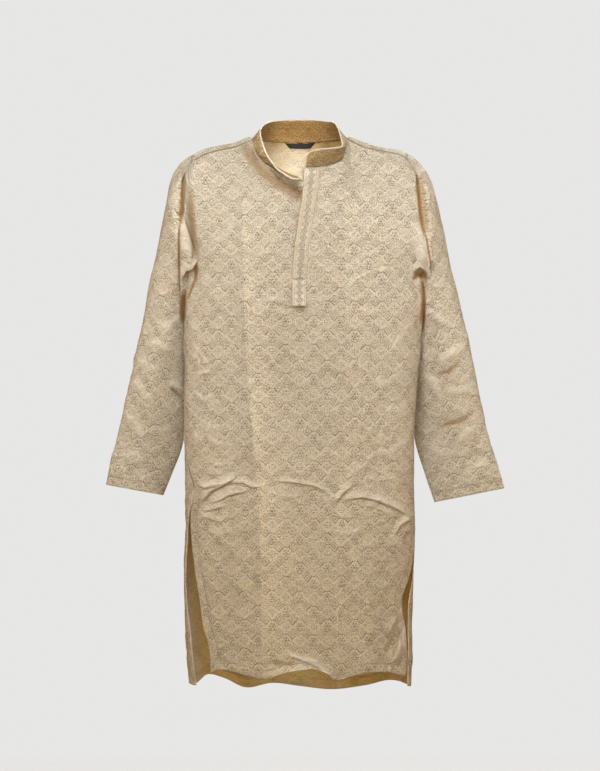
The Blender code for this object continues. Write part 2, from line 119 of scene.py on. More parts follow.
# The collar.
COLLAR_LEAN = 0.008
COLLAR_LEAN_FROM = 0.030
COLLAR_LEAN_SPAN = 0.070
COLLAR_TUCK_IN = 0.0012
COLLAR_TUCK_DOWN = 1.2

# The sleeves: their head, the bunched underarm and the corner that nestles against the body.
SLEEVE_TUCK = 0.0012
SLEEVE_SQUARE = 0.74
SLEEVE_PUFF = ((0, 0.026), (1, 0.024), (2, 0.016), (3, 0.008), (4, 0.002), (6, 0.0))
UNDERARM_BUNCH = -0.270
UNDERARM_BUNCH_REACH = 0.024
UNDERARM_BUNCH_RISE = 0.005
NESTLE_TURN = 0.75
NESTLE_SPAN = 0.50
NESTLE_FOOT = -0.48
NESTLE_FOOT_FADE = 0.12
NESTLE_TOP = -0.240
NESTLE_TOP_FADE = 0.014

# The weave's grain on the sleeves and over the shoulders.
GRAIN_TURN = 1.5
FACING_FROM = 0.50
FACING_SPAN = 0.3
CAP_TURN = 0.10
CAP_TURN_END = 1.3

# Creases, with their reach in widths and their marks in millimetres. Their marks are painted shade in troughs
# and below steep flanks, and painted highlight on pressed crests and lit facets.
PRESSED = 0.9
TENT_REACH = 1.45
CREASE_REACH = 3.2
CREASE_FADE = 1.2
CREASE_END = 0.28
CREASE_END_LEVEL = 0.12
CREASE_TAPER = 0.6
MARK_WIDTH = 1.9
CREASE_MARGIN = 6 * MARK_WIDTH
WIDEST_DEEP = 6.0
FULL_MARK = 3.0
LIT_FACET = 0.85
FACET_FALL = 0.6
SHADED_FLANK = 0.8
# Ordinary creases leave half the painted shade of the armhole folds, and the full painted highlight.
SHALLOW = np.array((0.5, 1.0))

# The long pressed lines, and the painted light and shade beside them.
PRESS_EDGE = 0.006
PRESS_DIM = 0.018
PRESS_PATCH = 0.045
PRESS_SEED = 43

# The curled middle of the front hem.
CURL_START = -0.075
CURL_END = 0.066
CURL_RISE = 0.075
CURL_FALL = 0.012
CURL_DEPTH = 0.024
CURL_OUT = 0.016
CURL_UP = 0.007
CURL_UP_FROM = 0.030

# Mesh density.
HALF_COLUMNS = 92
NECK_COLUMNS = 46
SKIRT_ROWS = 190
YOKE_ROWS = 74
CLOSE_ROWS = ((-0.680, 0.050, 1.9), (-1.015, 0.030, 1.2))
SLEEVE_COLUMNS = 2 * YOKE_ROWS
CAP_ROWS = 40
ARM_ROWS = 126
BAND_ROWS = 18
STRIP_COLUMNS = 26
TAB_COLUMNS = 24
TAB_ROWS = 44
LABEL_COLUMNS = 40
LABEL_ROWS = 10
RING_SAMPLES = 361
NOISE_CELLS = 64

# The charted patterns.
LATTICE_TALL = 1.05
FLECK_SCALE = (420.0, 560.0, 1.0)

UP = np.array((0.0, 0.0, 1.0))

Grid = np.ndarray
Height = Callable[[float], float]
Colour = tuple[float, float, float, float]
Cloths = tuple[bpy.types.Material, bpy.types.Material]


class Girth(NamedTuple):
    """Half sizes of the body's ring at one height, measured from the neck's centre line."""

    height: float
    left: float
    right: float
    front: float
    back: float


class Edges(NamedTuple):
    """Where each panel's side edge stands, in degrees round the ring from centre front."""

    height: float
    front_left: float
    back_left: float
    front_right: float
    back_right: float


class HemPoint(NamedTuple):
    """A hem's height at one place across the body."""

    across: float
    height: float


class Point(NamedTuple):
    """A place on a seam, a rim or a sleeve's outline."""

    x: float
    y: float
    z: float


def places(*rows: tuple[float, float, float]) -> tuple[Point, ...]:
    """Places given in millimetres."""
    return tuple(Point(*(value / 1000 for value in row)) for row in rows)


class Seams(NamedTuple):
    """A half panel's armhole from the underarm up, shoulder from the armhole in, and neckline from there."""

    armhole: Sequence[Point]
    shoulder: Sequence[Point]
    neck: Sequence[Point]


class Station(NamedTuple):
    """One ring of a sleeve: its outer edge, its inner edge and half its thickness."""

    outer: Point
    inner: Point
    depth: float


class Facing(Enum):
    """The side of a closed tube that a crease lies on."""

    FRONT = -1.0
    BACK = 1.0


class Side(Enum):
    """A panel's side edge, as its place in a row of the side edges."""

    FRONT_LEFT = 0
    BACK_LEFT = 1
    FRONT_RIGHT = 2
    BACK_RIGHT = 3


class Pattern(Enum):
    """A shared shader group."""

    LATTICE = "lattice"
    CHAIN = "chain"
    WEAVE = "weave"
    BORDER = "border"


Groups = dict[Pattern, bpy.types.NodeTree]


class Edge(Enum):
    """An edge of a cloth grid."""

    FOOT = "foot"
    HEAD = "head"
    FIRST = "first"
    LAST = "last"


@dataclass(frozen=True)
class Crease:
    """A ridge, or a trough where raised is below zero, along a line seen from the front.

    The line's points are across and up, and all sizes are millimetres. A sharp of 1 has a pressed crest and 0
    a round one, and lean widens the flank on the line's right and narrows the other. A shade above 0 says how
    dark the painted shade in a wide trough is.
    """

    line: tuple[tuple[float, float], ...]
    width: float
    raised: float
    sharp: float = 0.3
    lean: float = 0.0
    shade: float = 0.0
    facing: Facing = Facing.FRONT

    def path(self) -> Grid:
        """Its line, rounded off where it has no pressed crest.

        Returns:
            The line's points.
        """
        if self.sharp < PRESSED:
            return curve(self.line, 4 * len(self.line))
        return np.array(self.line, dtype=float)

    def marks(self, t: Grid, away: Grid, side: Grid, ends: Grid) -> Grid:
        """The marks that it leaves on the spots beside it.

        Args:
            t: their distances from its line, in widths of its flanks.
            away: the same in millimetres.
            side: the side of the line that they lie on.
            ends: how fully the crease has risen there.

        Returns:
            Two marks a spot, from 0 to 1: painted shade for how deep it lies, and painted highlight for how
                near it lies to a crest or a lit facet.
        """
        strength = ends * min(1.0, abs(self.raised) / FULL_MARK)
        deep = crest = np.zeros_like(t)
        if self.raised < 0 and (self.shade or self.width <= WIDEST_DEEP):
            deep = (ends * self.shade if self.shade else strength) * bell(1.4 * t)
        elif self.raised > 0 and self.sharp >= PRESSED:
            steep = side * np.sign(self.lean) > 0
            facet = np.where(steep, 0.0, LIT_FACET * tent(t) ** FACET_FALL)
            crest = strength * np.maximum(bell(away / MARK_WIDTH), facet)
            deep = strength * np.where(steep, SHADED_FLANK * bell(away / MARK_WIDTH - 1), 0.0)
        return np.stack([deep, crest], axis=-1)


def crease_set(*rows: tuple, facing: Facing = Facing.FRONT) -> tuple[Crease, ...]:
    """Creases on one side of the cloth, a row of their values each."""
    return tuple(Crease(*row, facing=facing) for row in rows)


class PressLight(NamedTuple):
    """A pressed line at one height: its place, the painted light beside it, the light's reach and the painted
    shade across.
    """

    height: float
    across: float
    bright: float
    reach: float
    dim: float


# Painted light beside each long pressed line and painted shade across it, one table for the line on each side
# of the centre.
PRESSED_LINES = (
    (
        PressLight(-1.050, -0.070, 0.10, 0.050, 0.00),
        PressLight(-0.903, -0.072, 0.15, 0.070, 0.02),
        PressLight(-0.779, -0.074, 0.20, 0.062, 0.03),
        PressLight(-0.456, -0.097, 0.20, 0.042, 0.10),
        PressLight(-0.171, -0.108, 0.14, 0.022, 0.08),
        PressLight(-0.040, -0.108, 0.02, 0.020, 0.02),
    ),
    (
        PressLight(-1.050, 0.070, 0.06, 0.014, 0.00),
        PressLight(-0.903, 0.066, 0.10, 0.018, 0.02),
        PressLight(-0.779, 0.066, 0.12, 0.022, 0.03),
        PressLight(-0.456, 0.087, 0.06, 0.022, 0.02),
        PressLight(-0.171, 0.083, 0.12, 0.026, 0.05),
        PressLight(-0.040, 0.080, 0.02, 0.020, 0.02),
    ),
)

BODY = (
    Girth(-0.258, 0.214, 0.231, 0.106, 0.098),
    Girth(-0.300, 0.219, 0.235, 0.106, 0.098),
    Girth(-0.345, 0.220, 0.232, 0.104, 0.096),
    Girth(-0.420, 0.220, 0.226, 0.100, 0.092),
    Girth(-0.575, 0.220, 0.217, 0.096, 0.088),
    Girth(-0.665, 0.218, 0.217, 0.096, 0.090),
    Girth(-0.735, 0.218, 0.219, 0.098, 0.092),
    Girth(-0.800, 0.220, 0.217, 0.099, 0.093),
    Girth(-0.870, 0.220, 0.214, 0.100, 0.095),
    Girth(-0.950, 0.216, 0.213, 0.101, 0.097),
    Girth(-1.050, 0.208, 0.211, 0.102, 0.098),
)

SIDE_EDGES = (
    Edges(-0.258, -90, -90, 90, 90),
    Edges(-0.480, -90, -90, 91, 91),
    Edges(-0.600, -79, -79, 92, 92),
    Edges(-0.668, -65, -65, 92, 92),
    Edges(-0.720, -71, -74, 89, 91),
    Edges(-0.770, -67, -76, 83, 88),
    Edges(-0.830, -61, -78, 71, 82),
    Edges(-0.870, -57, -77, 62, 74),
    Edges(-0.925, -54, -72, 67, 72),
    Edges(-0.960, -50, -70, 70, 73),
    Edges(-1.050, -51, -66, 68, 73),
)

FRONT_HEM = (
    HemPoint(-0.190, -1.025),
    HemPoint(-0.154, -1.003),
    HemPoint(-0.114, -1.010),
    HemPoint(-0.060, -1.020),
    HemPoint(-0.036, -1.011),
    HemPoint(0.015, -1.003),
    HemPoint(0.049, -1.014),
    HemPoint(0.070, -1.022),
    HemPoint(0.104, -1.013),
    HemPoint(0.160, -1.008),
    HemPoint(0.205, -1.018),
)

BACK_HEM = (
    HemPoint(-0.210, -1.031),
    HemPoint(-0.199, -1.034),
    HemPoint(-0.180, -1.019),
    HemPoint(-0.150, -1.024),
    HemPoint(-0.105, -1.044),
    HemPoint(-0.055, -1.036),
    HemPoint(0.000, -1.042),
    HemPoint(0.060, -1.048),
    HemPoint(0.125, -1.040),
    HemPoint(0.180, -1.029),
    HemPoint(0.210, -1.037),
)

# Armholes run from the underarm up to the end of the shoulder seam.
ARMHOLE_FRONT_LEFT = places(
    (-214, 0, -258), (-210, -26, -251), (-204, -46, -230), (-210, -59, -190),
    (-221, -60, -145), (-224, -53, -105), (-220, -44, -70), (-206, -26, -40),
)

ARMHOLE_BACK_LEFT = places(
    (-214, 0, -258), (-214, 30, -246), (-214, 52, -215), (-219, 62, -165), (-222, 58, -115),
    (-221, 43, -72), (-215, 22, -42), (-209, -2, -30), (-206, -26, -40),
)

ARMHOLE_FRONT_RIGHT = places(
    (231, 0, -258), (240, -34, -246), (243, -52, -222), (236, -60, -185), (229, -60, -145),
    (225, -53, -105), (220, -44, -66), (203, -25, -35),
)

ARMHOLE_BACK_RIGHT = places(
    (231, 0, -258), (229, 30, -246), (228, 52, -215), (227, 62, -165), (226, 58, -115),
    (223, 43, -72), (215, 22, -40), (207, -2, -27), (203, -25, -35),
)

# Shoulder seams run from the armhole to the neck.
SHOULDER_LEFT = places(
    (-206, -26, -40), (-179, -17, -26), (-150, -12, -18), (-125, -9, -13), (-91, -4, 2),
)

SHOULDER_RIGHT = places(
    (203, -25, -35), (185, -18, -26), (158, -12, -21), (118, -8, -11), (91, -4, 2),
)

# Necklines run from the shoulder point to the centre.
NECK_FRONT_LEFT = places(
    (-91, -4, 2), (-85, -26, -15), (-74, -46, -36), (-55, -60, -50), (-34, -70, -63),
    (8, -80, -80),
)

NECK_FRONT_RIGHT = places(
    (91, -4, 2), (88, -25, -10), (84, -44, -24), (78, -58, -38), (66, -67, -45),
    (34, -78, -53), (14.5, -82, -56),
)

NECK_BACK_LEFT = places(
    (-91, -4, 2), (-80, 25, 3), (-60, 45, 1), (-30, 56, -1), (0, 60, -2),
)

NECK_BACK_RIGHT = tuple(Point(-p.x, p.y, p.z) for p in NECK_BACK_LEFT)

# The collar's rim, one point for each neckline point, from its fallen left end round to its right end.
COLLAR_RIM = places(
    (-1, -112, -79), (-21, -104, -74), (-44, -95, -58), (-62, -79, -33), (-72, -56, -5),
    (-75.5, -27, 18), (-64, 12, 33), (-49, 37, 38), (-25, 50, 40.5), (0, 54, 41),
    (26, 50, 40.5), (50, 37, 38), (66, 12, 33), (75, -26, 15), (79, -50, -2),
    (81, -72, -12), (78, -85, -16.5), (62, -93, -19), (36, -100, -21.5), (11, -104, -27),
)

SLEEVE_LEFT = (
    Station(Point(-0.262, 0.020, -0.156), Point(-0.215, 0.050, -0.308), 0.050),
    Station(Point(-0.281, 0.024, -0.247), Point(-0.213, 0.064, -0.366), 0.047),
    Station(Point(-0.302, 0.028, -0.353), Point(-0.211, 0.068, -0.440), 0.042),
    Station(Point(-0.322, 0.030, -0.445), Point(-0.213, 0.066, -0.510), 0.037),
    Station(Point(-0.342, 0.030, -0.536), Point(-0.225, 0.062, -0.583), 0.030),
    Station(Point(-0.357, 0.028, -0.597), Point(-0.243, 0.052, -0.632), 0.026),
    Station(Point(-0.370, 0.026, -0.655), Point(-0.2605, 0.044, -0.6755), 0.022),
)

SLEEVE_RIGHT = (
    Station(Point(0.269, 0.020, -0.156), Point(0.2335, 0.050, -0.310), 0.050),
    Station(Point(0.290, 0.024, -0.247), Point(0.223, 0.066, -0.372), 0.046),
    Station(Point(0.3145, 0.028, -0.353), Point(0.216, 0.068, -0.445), 0.042),
    Station(Point(0.334, 0.030, -0.445), Point(0.213, 0.068, -0.515), 0.034),
    Station(Point(0.354, 0.030, -0.536), Point(0.220, 0.062, -0.575), 0.024),
    Station(Point(0.370, 0.028, -0.597), Point(0.238, 0.052, -0.634), 0.016),
    Station(Point(0.3885, 0.026, -0.662), Point(0.2565, 0.044, -0.689), 0.011),
)

# The cloth's direction where a half panel reaches its head, from its side edge to its centre.
FRONT_AIMS = ((0, 0, 0.70, 0.70), (0.5, 0, 0.70, 0.70), (1, 0, 0.35, 0.94))
BACK_AIMS = (
    (0, 0, -0.70, -0.70),
    (0.5, 0, -0.85, -0.50),
    (0.62, 0, -0.98, 0.20),
    (1, 0, -0.35, 0.94),
)

FRONT_CREASES = crease_set(
    # Long lines where the folded kurta was pressed.
    (((-108, -80), (-106, -300), (-97, -460), (-84, -600), (-78, -655)), 20, 2.4, 0.7, -0.3),
    (((-78, -655), (-74, -780), (-72, -903), (-70, -1005)), 20, 4.0, 0.8, -0.3),
    (((82, -100), (87, -310), (86, -450), (74, -580), (69, -660)), 18, 2.2, 0.7, 0.3),
    (((71, -684), (69, -790), (68, -903), (70, -1010)), 18, 3.8, 0.8, 0.3),
    (((-104, -665), (-112, -780), (-110, -900), (-104, -1000)), 22, 3.0, 0.5),
    (((-86, -690), (-88, -800), (-84, -920), (-80, -990)), 14, -2.4, 0.2),
    (((128, -720), (126, -830), (134, -940), (132, -1000)), 20, 2.4, 0.4),
    (((98, -730), (96, -850), (98, -960)), 18, -2.2, 0.2),
    (((0, -700), (6, -800), (0, -900), (4, -990)), 26, -1.8, 0.1),
    (((-146, -730), (-150, -840), (-140, -930)), 18, -2.0, 0.2),
    # The pressed fold across the belly: overlapping facets with a sharp lower edge, each with a painted
    # highlight on its facet and painted shade under its edge.
    (((-190, -692), (-179, -680), (-167, -666), (-134, -649), (-110, -631)), 7, 6.0, 1.0, -0.8),
    (((-197, -651), (-180, -660), (-160, -656), (-146, -650)), 5, 3.4, 1.0, -0.7),
    (((-170, -690), (-150, -682), (-134, -673), (-110, -668), (-91, -661)), 7, 3.4, 1.0, -0.8),
    (((-184, -704), (-160, -699), (-136, -692)), 5, 2.6, 1.0, -0.7),
    (((-140, -651), (-107, -649), (-89, -659), (-67, -654)), 5, 3.6, 1.0, -0.6),
    (((-67, -653), (-44, -646), (-7, -649), (31, -656), (57, -672), (69, -684)), 4, 3.0, 1.0, -0.6),
    (((-72, -640), (-30, -632), (15, -634), (56, -652)), 16, 2.0, 0.4, -0.4),
    (((64, -690), (80, -670), (100, -653)), 5, 4.6, 1.0, -0.7),
    (((68, -687), (92, -680), (116, -677), (148, -684), (180, -698), (216, -719)), 6, 4.0, 1.0, -0.7),
    (((120, -690), (150, -700), (176, -716)), 5, 2.0, 1.0, -0.6),
    (((178, -752), (188, -731), (202, -722), (217, -719)), 5, 3.6, 1.0, -0.7),
    (((168, -742), (184, -760), (200, -770)), 4, 2.0, 0.9, 0.3),
    (((-196, -716), (-172, -716), (-150, -724), (-131, -708)), 5, 2.6, 1.0, -0.6),
    (((-208, -532), (-196, -552), (-190, -576)), 5, 2.2, 0.9, 0.4),
    (((120, -640), (150, -646), (182, -640)), 6, 1.8, 0.9, -0.5),
    (((-120, -612), (-150, -618), (-186, -608)), 6, 1.8, 0.9, 0.5),
    (((88, -636), (112, -622), (140, -618)), 6, 1.6, 0.9, -0.5),
    (((-176, -742), (-150, -748), (-120, -738)), 6, 1.8, 0.9, -0.5),
    (((60, -738), (96, -748), (128, -742)), 6, 1.5, 0.9, -0.5),
    (((-60, -668), (-24, -676), (10, -672)), 8, 1.6, 0.9, -0.5),
    (((-186, -628), (-160, -636), (-138, -630)), 6, 1.6, 0.9, -0.5),
    # The hollow under the placket's tab, painted with its shadow, and the ridges beside it with their painted
    # highlight and shade.
    (((-44, -314), (-20, -318), (-8, -320), (12, -318), (30, -313)), 4.5, -2.4, 0.7),
    (((-70, -304), (-44, -304), (-20, -306)), 4, 1.7, 0.95, -0.6),
    (((10, -306), (30, -303), (50, -311)), 4, 1.7, 0.95, -0.6),
    # The chest and the waist.
    (((-203, -376), (-188, -396), (-173, -420)), 5, 4.2, 0.95, 0.6),
    (((-203, -398), (-190, -412), (-184, -430)), 4, 3.0, 0.95, 0.6),
    (((-200, -446), (-184, -446), (-166, -440)), 4, 3.2, 0.95, -0.6),
    (((-202, -470), (-180, -486), (-158, -488)), 5, 2.6, 0.95, 0.6),
    (((-200, -520), (-168, -540), (-140, -546)), 5, 2.6, 0.95, 0.6),
    (((-196, -424), (-178, -424), (-160, -414)), 4, 2.2, 0.95, -0.6),
    (((-188, -498), (-168, -504), (-146, -496)), 4, 2.2, 0.95, -0.6),
    (((-178, -560), (-150, -572), (-120, -574)), 5, 2.0, 0.95, 0.6),
    (((-204, -344), (-190, -356), (-182, -372)), 4, 2.2, 0.95, 0.6),
    (((91, -283), (104, -268), (120, -259), (139, -250)), 4, 3.4, 0.9, -0.3),
    (((139, -250), (152, -243), (168, -241), (190, -253)), 4, 3.0, 0.9, 0.3),
    (((110, -293), (120, -282), (131, -270)), 6.5, -2.4, 0.7),
    (((205, -300), (176, -330), (150, -372)), 10, 2.2, 0.6),
    (((203, -352), (184, -372), (168, -404)), 6, 2.4, 0.95, -0.6),
    (((200, -430), (168, -452), (140, -458)), 6, 2.2, 0.95, -0.6),
    (((206, -560), (170, -585), (128, -592)), 6, 2.2, 0.95, -0.6),
    (((204, -490), (182, -506), (158, -508)), 5, 2.0, 0.95, -0.6),
    (((-186, -262), (-160, -300), (-140, -352)), 12, 2.0, 0.5),
    (((-60, -300), (-40, -360), (-44, -430)), 18, 1.6, 0.2),
    (((30, -330), (42, -400), (30, -480)), 18, 1.6, 0.2),
    # A painted shadow, cast by the fallen left half of the collar onto the chest.
    (((-118, 8), (-92, -32), (-74, -57), (-48, -79), (-18, -98), (34, -120)), 18, -1.8, 0.1, 0.0, 1.08),
    (((-50, -96), (-74, -140), (-90, -200)), 16, -2.0, 0.1),
    (((52, -80), (78, -120), (96, -190)), 16, -1.6, 0.1),
    (((-150, -420), (-128, -470), (-132, -540)), 14, 1.8, 0.3),
    (((150, -480), (132, -530), (136, -600)), 14, 1.8, 0.3),
    # The slits and the hem.
    (((-186, -700), (-178, -760), (-172, -830), (-160, -900)), 9, 2.4, 0.5),
    (((-168, -958), (-164, -985), (-158, -1000), (-156, -1012)), 5, 4.5, 0.7, 0.5),
    (((-152, -962), (-149, -984), (-147, -1004)), 7, -3.6, 0.5),
    (((-182, -905), (-176, -930), (-169, -952)), 5, 3.0, 0.8),
    (((-196, -800), (-176, -808), (-160, -800)), 6, 1.8, 0.6),
    (((197, -860), (192, -884), (177, -908), (160, -936)), 6, 5.0, 0.9, -0.4),
    (((190, -892), (184, -930), (173, -960), (168, -990)), 8, -5.0, 0.4),
    (((198, -912), (190, -940), (180, -970), (171, -994)), 8, 5.5, 1.0, -0.7),
    (((80, -1004), (110, -1000), (150, -996)), 9, 2.0, 0.3),
    (((-130, -996), (-100, -1002), (-70, -1006)), 8, 2.2, 0.3),
    (((-34, -972), (-6, -980), (24, -992), (52, -1006)), 5, 3.4, 0.9, -0.5),
    (((-60, -990), (-36, -990), (-8, -989)), 5, -2.6, 0.5),
)

# Deep folds at the armholes, which run over their seams. They push the cloth back or forward, and paint shade
# in the slots, hollows and gaps and highlight on the flaps.
ARMHOLE_FOLDS = crease_set(
    # Viewer's left: the slot beside the sleeve, the flap over the underarm, its hollow and the gap below.
    (((-238, -84), (-241, -130), (-244, -190), (-245, -250), (-240, -300)), 12, 4.0, 0.2, -0.3),
    (((-220, -54), (-221, -84), (-222, -112), (-224, -140), (-227, -170)), 5.0, -8.0, 0.3),
    (((-225, -140), (-228, -172), (-229, -228), (-228, -285), (-226, -316)), 2.6, -7.0, 0.5),
    (((-221, -146), (-209, -184), (-201, -208), (-194, -230)), 10, 7.0, 1.0, 0.84),
    (((-193, -226), (-202, -246), (-216, -251), (-227, -270)), 7, 6.0, 1.0, 0.8),
    (((-208, -88), (-206, -140), (-199, -200), (-192, -244)), 11, -4.0, 0.2, 0.0, 0.50),
    (((-197, -236), (-196, -252), (-198, -272)), 4.0, -11.0, 0.3),
    (((-197, -262), (-205, -284), (-214, -306)), 2.6, -7.0, 0.5),
    (((-213, -256), (-214, -276), (-212, -298)), 8, -4.0, 0.2),
    (((-214, -282), (-219, -318), (-221, -360)), 11, 10.0, 0.2),
    (((-220, -292), (-222, -318), (-222, -350)), 4.0, -6.0, 0.3),
    (((-220, -280), (-222, -318), (-223, -352)), 8, -1.0, 0.2, 0.0, 1.0),
    # Viewer's right: the softer slot, and the arched flap over its hollow.
    (((238, -84), (244, -130), (251, -190), (257, -250), (258, -300)), 12, 3.0, 0.2, 0.3),
    (((220, -62), (222, -90), (225, -120), (229, -156), (236, -194)), 5.0, -7.0, 0.3, -0.5),
    (((228, -150), (238, -193), (244, -228), (249, -262)), 10, 6.0, 1.0, 0.8),
    (((208, -266), (217, -251), (226, -242), (235, -247), (242, -262), (251, -261)), 5, 7.0, 1.0, -0.6),
    (((212, -268), (222, -257), (232, -258), (241, -272)), 5.5, -3.2, 0.2),
    (((230, -238), (232, -258), (233, -300), (233, -352)), 10, 13.0, 0.2),
    (((230, -262), (233, -288), (236, -320)), 4, -4.5, 0.4),
    (((235, -300), (234, -330), (231, -370)), 2.2, -5.0, 0.4),
    (((216, -262), (223, -255), (231, -256), (238, -264)), 9, -2.0, 0.2, 0.0, 1.0),
    (((231, -262), (233, -300), (232, -360)), 6, -1.0, 0.2, 0.0, 1.0),
    (((226, -66), (232, -100), (238, -150), (243, -190)), 10, -3.0, 0.2, 0.0, 0.34),
)
FOLD_BACK_LIMIT = 0.010
FOLD_FADE = 0.030
MARK_BACK_LIMIT = 0.050
MARK_FADE = 0.040

BACK_CREASES = crease_set(
    (((-92, -70), (-94, -280), (-84, -450), (-72, -640)), 20, 2.4, 0.9, 0.3),
    (((90, -70), (90, -270), (78, -450), (70, -650)), 20, 2.4, 0.9, -0.3),
    (((-72, -650), (-70, -820), (-64, -1010)), 20, 3.6, 0.8),
    (((70, -660), (74, -830), (66, -1015)), 20, 3.4, 0.8),
    (((-120, -560), (-130, -760), (-135, -1010)), 26, 5.0, 0.3),
    (((-30, -640), (-26, -820), (-32, -1020)), 24, -4.0, 0.2),
    (((10, -520), (12, -760), (4, -1020)), 28, 5.0, 0.2),
    (((44, -640), (46, -820), (40, -1010)), 18, -3.4, 0.2),
    (((128, -520), (138, -760), (142, -1010)), 24, 5.0, 0.3),
    (((-170, -640), (-176, -800), (-172, -980)), 20, -3.0, 0.2),
    (((-196, -640), (-150, -652), (-100, -640), (-60, -650)), 8, 3.2, 0.8),
    (((-180, -664), (-130, -668), (-76, -656)), 8, -2.6, 0.4),
    (((-60, -650), (-10, -644), (40, -655), (80, -672)), 7, -2.8, 0.6),
    (((-50, -634), (0, -630), (50, -640)), 14, 2.0, 0.4),
    (((80, -672), (120, -662), (160, -676), (200, -690)), 8, 3.2, 0.8),
    (((110, -684), (150, -694), (186, -706)), 8, -2.2, 0.4),
    (((-170, -95), (-120, -130), (-60, -150), (0, -154)), 22, 2.0, 0.2),
    (((168, -92), (120, -132), (70, -152)), 22, 2.2, 0.2),
    (((-196, -170), (-160, -200), (-120, -215)), 14, 2.6, 0.4),
    (((-194, -210), (-165, -245), (-140, -290)), 14, 2.4, 0.4),
    (((200, -170), (170, -205), (130, -222)), 14, 2.6, 0.4),
    (((200, -220), (172, -262), (150, -310)), 14, 2.2, 0.4),
    (((-180, -330), (-130, -352), (-90, -350)), 12, 1.6, 0.4),
    (((190, -380), (150, -402), (110, -400)), 12, 1.6, 0.4),
    (((-200, -480), (-160, -505), (-120, -510)), 10, 1.6, 0.5),
    (((202, -520), (160, -548), (118, -556)), 10, 1.6, 0.5),
    (((-20, -360), (10, -420), (0, -500)), 24, 1.6, 0.2),
    (((-60, -1024), (-20, -1028), (30, -1030)), 10, 3.4, 0.3),
    (((90, -1026), (130, -1020), (170, -1014)), 10, 3.0, 0.3),
    (((-160, -1006), (-120, -1022), (-90, -1026)), 10, -2.6, 0.3),
    (((-190, -760), (-178, -830), (-186, -900)), 10, 2.4, 0.5),
    (((196, -780), (182, -850), (190, -930)), 10, 2.4, 0.5),
)

SLEEVE_LEFT_CREASES = crease_set(
    (((-249, -469), (-235, -480), (-219, -493)), 4, -3.9, 0.9),
    (((-252, -458), (-236, -467), (-218, -478)), 6, 3.3, 0.9),
    (((-293, -380), (-267, -386), (-240, -400)), 6, 2.7, 0.9),
    (((-226, -330), (-248, -352), (-270, -362)), 8, 3, 0.9),
    (((-312, -410), (-290, -430), (-262, -436)), 6, 2.2, 0.9),
    (((-320, -450), (-300, -476), (-278, -500)), 6, 2.1, 0.9),
    (((-240, -540), (-262, -552), (-290, -550)), 6, 2.1, 0.9),
    (((-332, -520), (-308, -540), (-296, -566)), 7, 2, 0.9),
    (((-350, -600), (-320, -596), (-290, -610)), 6, 1.7, 0.9),
    (((-238, -250), (-246, -300), (-256, -350)), 16, 2, 0.2),
    (((-262, -200), (-280, -300), (-296, -400)), 22, -1.6, 0.1),
) + crease_set(
    (((-232, -380), (-256, -392), (-280, -390)), 6, 3.6, 0.9),
    (((-228, -420), (-252, -440), (-284, -442)), 6, -3.3, 0.9),
    (((-226, -460), (-250, -484), (-300, -488)), 7, 3.6, 0.9),
    (((-318, -400), (-296, -424), (-270, -430)), 7, 3, 0.9),
    (((-330, -500), (-300, -520), (-262, -540)), 7, 2.7, 0.9),
    (((-246, -200), (-262, -270), (-280, -340)), 18, 2.4, 0.2),
    (((-346, -590), (-316, -600), (-284, -598)), 6, 2.2, 0.9),
    facing=Facing.BACK,
)

SLEEVE_RIGHT_CREASES = crease_set(
    (((222, -66), (230, -60), (240, -57)), 4, 2.7, 0.9),
    (((318, -384), (290, -400), (258, -424)), 6, 3, 0.9),
    (((306, -420), (282, -440), (250, -448)), 6, -2.7, 0.9),
    (((330, -462), (304, -476), (270, -474)), 6, 2.7, 0.9),
    (((232, -440), (254, -462), (270, -492)), 6, 2.7, 0.9),
    (((330, -520), (300, -536), (262, -545)), 6, -3, 0.9),
    (((346, -540), (316, -556), (290, -580)), 6, 2.4, 0.9),
    (((240, -570), (262, -590), (296, -600)), 6, 2.2, 0.9),
    (((366, -610), (340, -616), (310, -636)), 6, 2, 0.9),
    (((246, -290), (262, -330), (270, -380)), 14, 2, 0.3),
    (((270, -200), (290, -300), (306, -380)), 22, -1.6, 0.1),
    (((238, -320), (256, -336), (280, -344)), 6, 2.7, 0.9),
) + crease_set(
    (((232, -380), (256, -396), (284, -394)), 6, 3.6, 0.9),
    (((228, -430), (254, -446), (286, -452)), 6, -3.3, 0.9),
    (((226, -480), (252, -498), (304, -500)), 7, 3.3, 0.9),
    (((326, -430), (300, -452), (276, -470)), 7, 3, 0.9),
    (((344, -540), (312, -560), (270, -566)), 7, 2.7, 0.9),
    (((250, -200), (268, -270), (286, -340)), 18, 2.4, 0.2),
    facing=Facing.BACK,
)


def hermite(first: Grid, last: Grid, leave: Grid, arrive: Grid, t: Grid) -> Grid:
    """Places at shares `t` of a smooth run, which leaves and arrives with the given headings."""
    level = first * (1 + 2 * t) * (1 - t) ** 2 + last * t * t * (3 - 2 * t)
    return level + leave * t * (1 - t) ** 2 + arrive * t * t * (t - 1)


def along(table: Sequence[Sequence[float]], at: Grid | float) -> Grid:
    """The other columns of a table, read smoothly where its first column is `at`.

    Args:
        table: rows of numbers, the first of each row being the place.
        at: the places wanted.

    Returns:
        The values at those places, one column for each of the table's other columns.
    """
    rows = np.array(sorted(tuple(row) for row in table))
    knots, values = rows[:, 0], rows[:, 1:]
    at = np.clip(np.asarray(at, dtype=float), knots[0], knots[-1])
    slopes = np.gradient(values, knots, axis=0)
    low = np.clip(np.searchsorted(knots, at, side="right") - 1, 0, len(knots) - 2)
    span = (knots[low + 1] - knots[low])[..., None]
    t = (at - knots[low])[..., None] / span
    return hermite(values[low], values[low + 1], span * slopes[low], span * slopes[low + 1], t)


def distances(points: Grid) -> Grid:
    """How far along a row of points each one lies."""
    return np.concatenate([[0], np.cumsum(np.linalg.norm(np.diff(points, axis=0), axis=1))])


def lengths(points: Grid) -> Grid:
    """How far along a row of points each one lies, as a share of the whole."""
    run = distances(points)
    return run / run[-1]


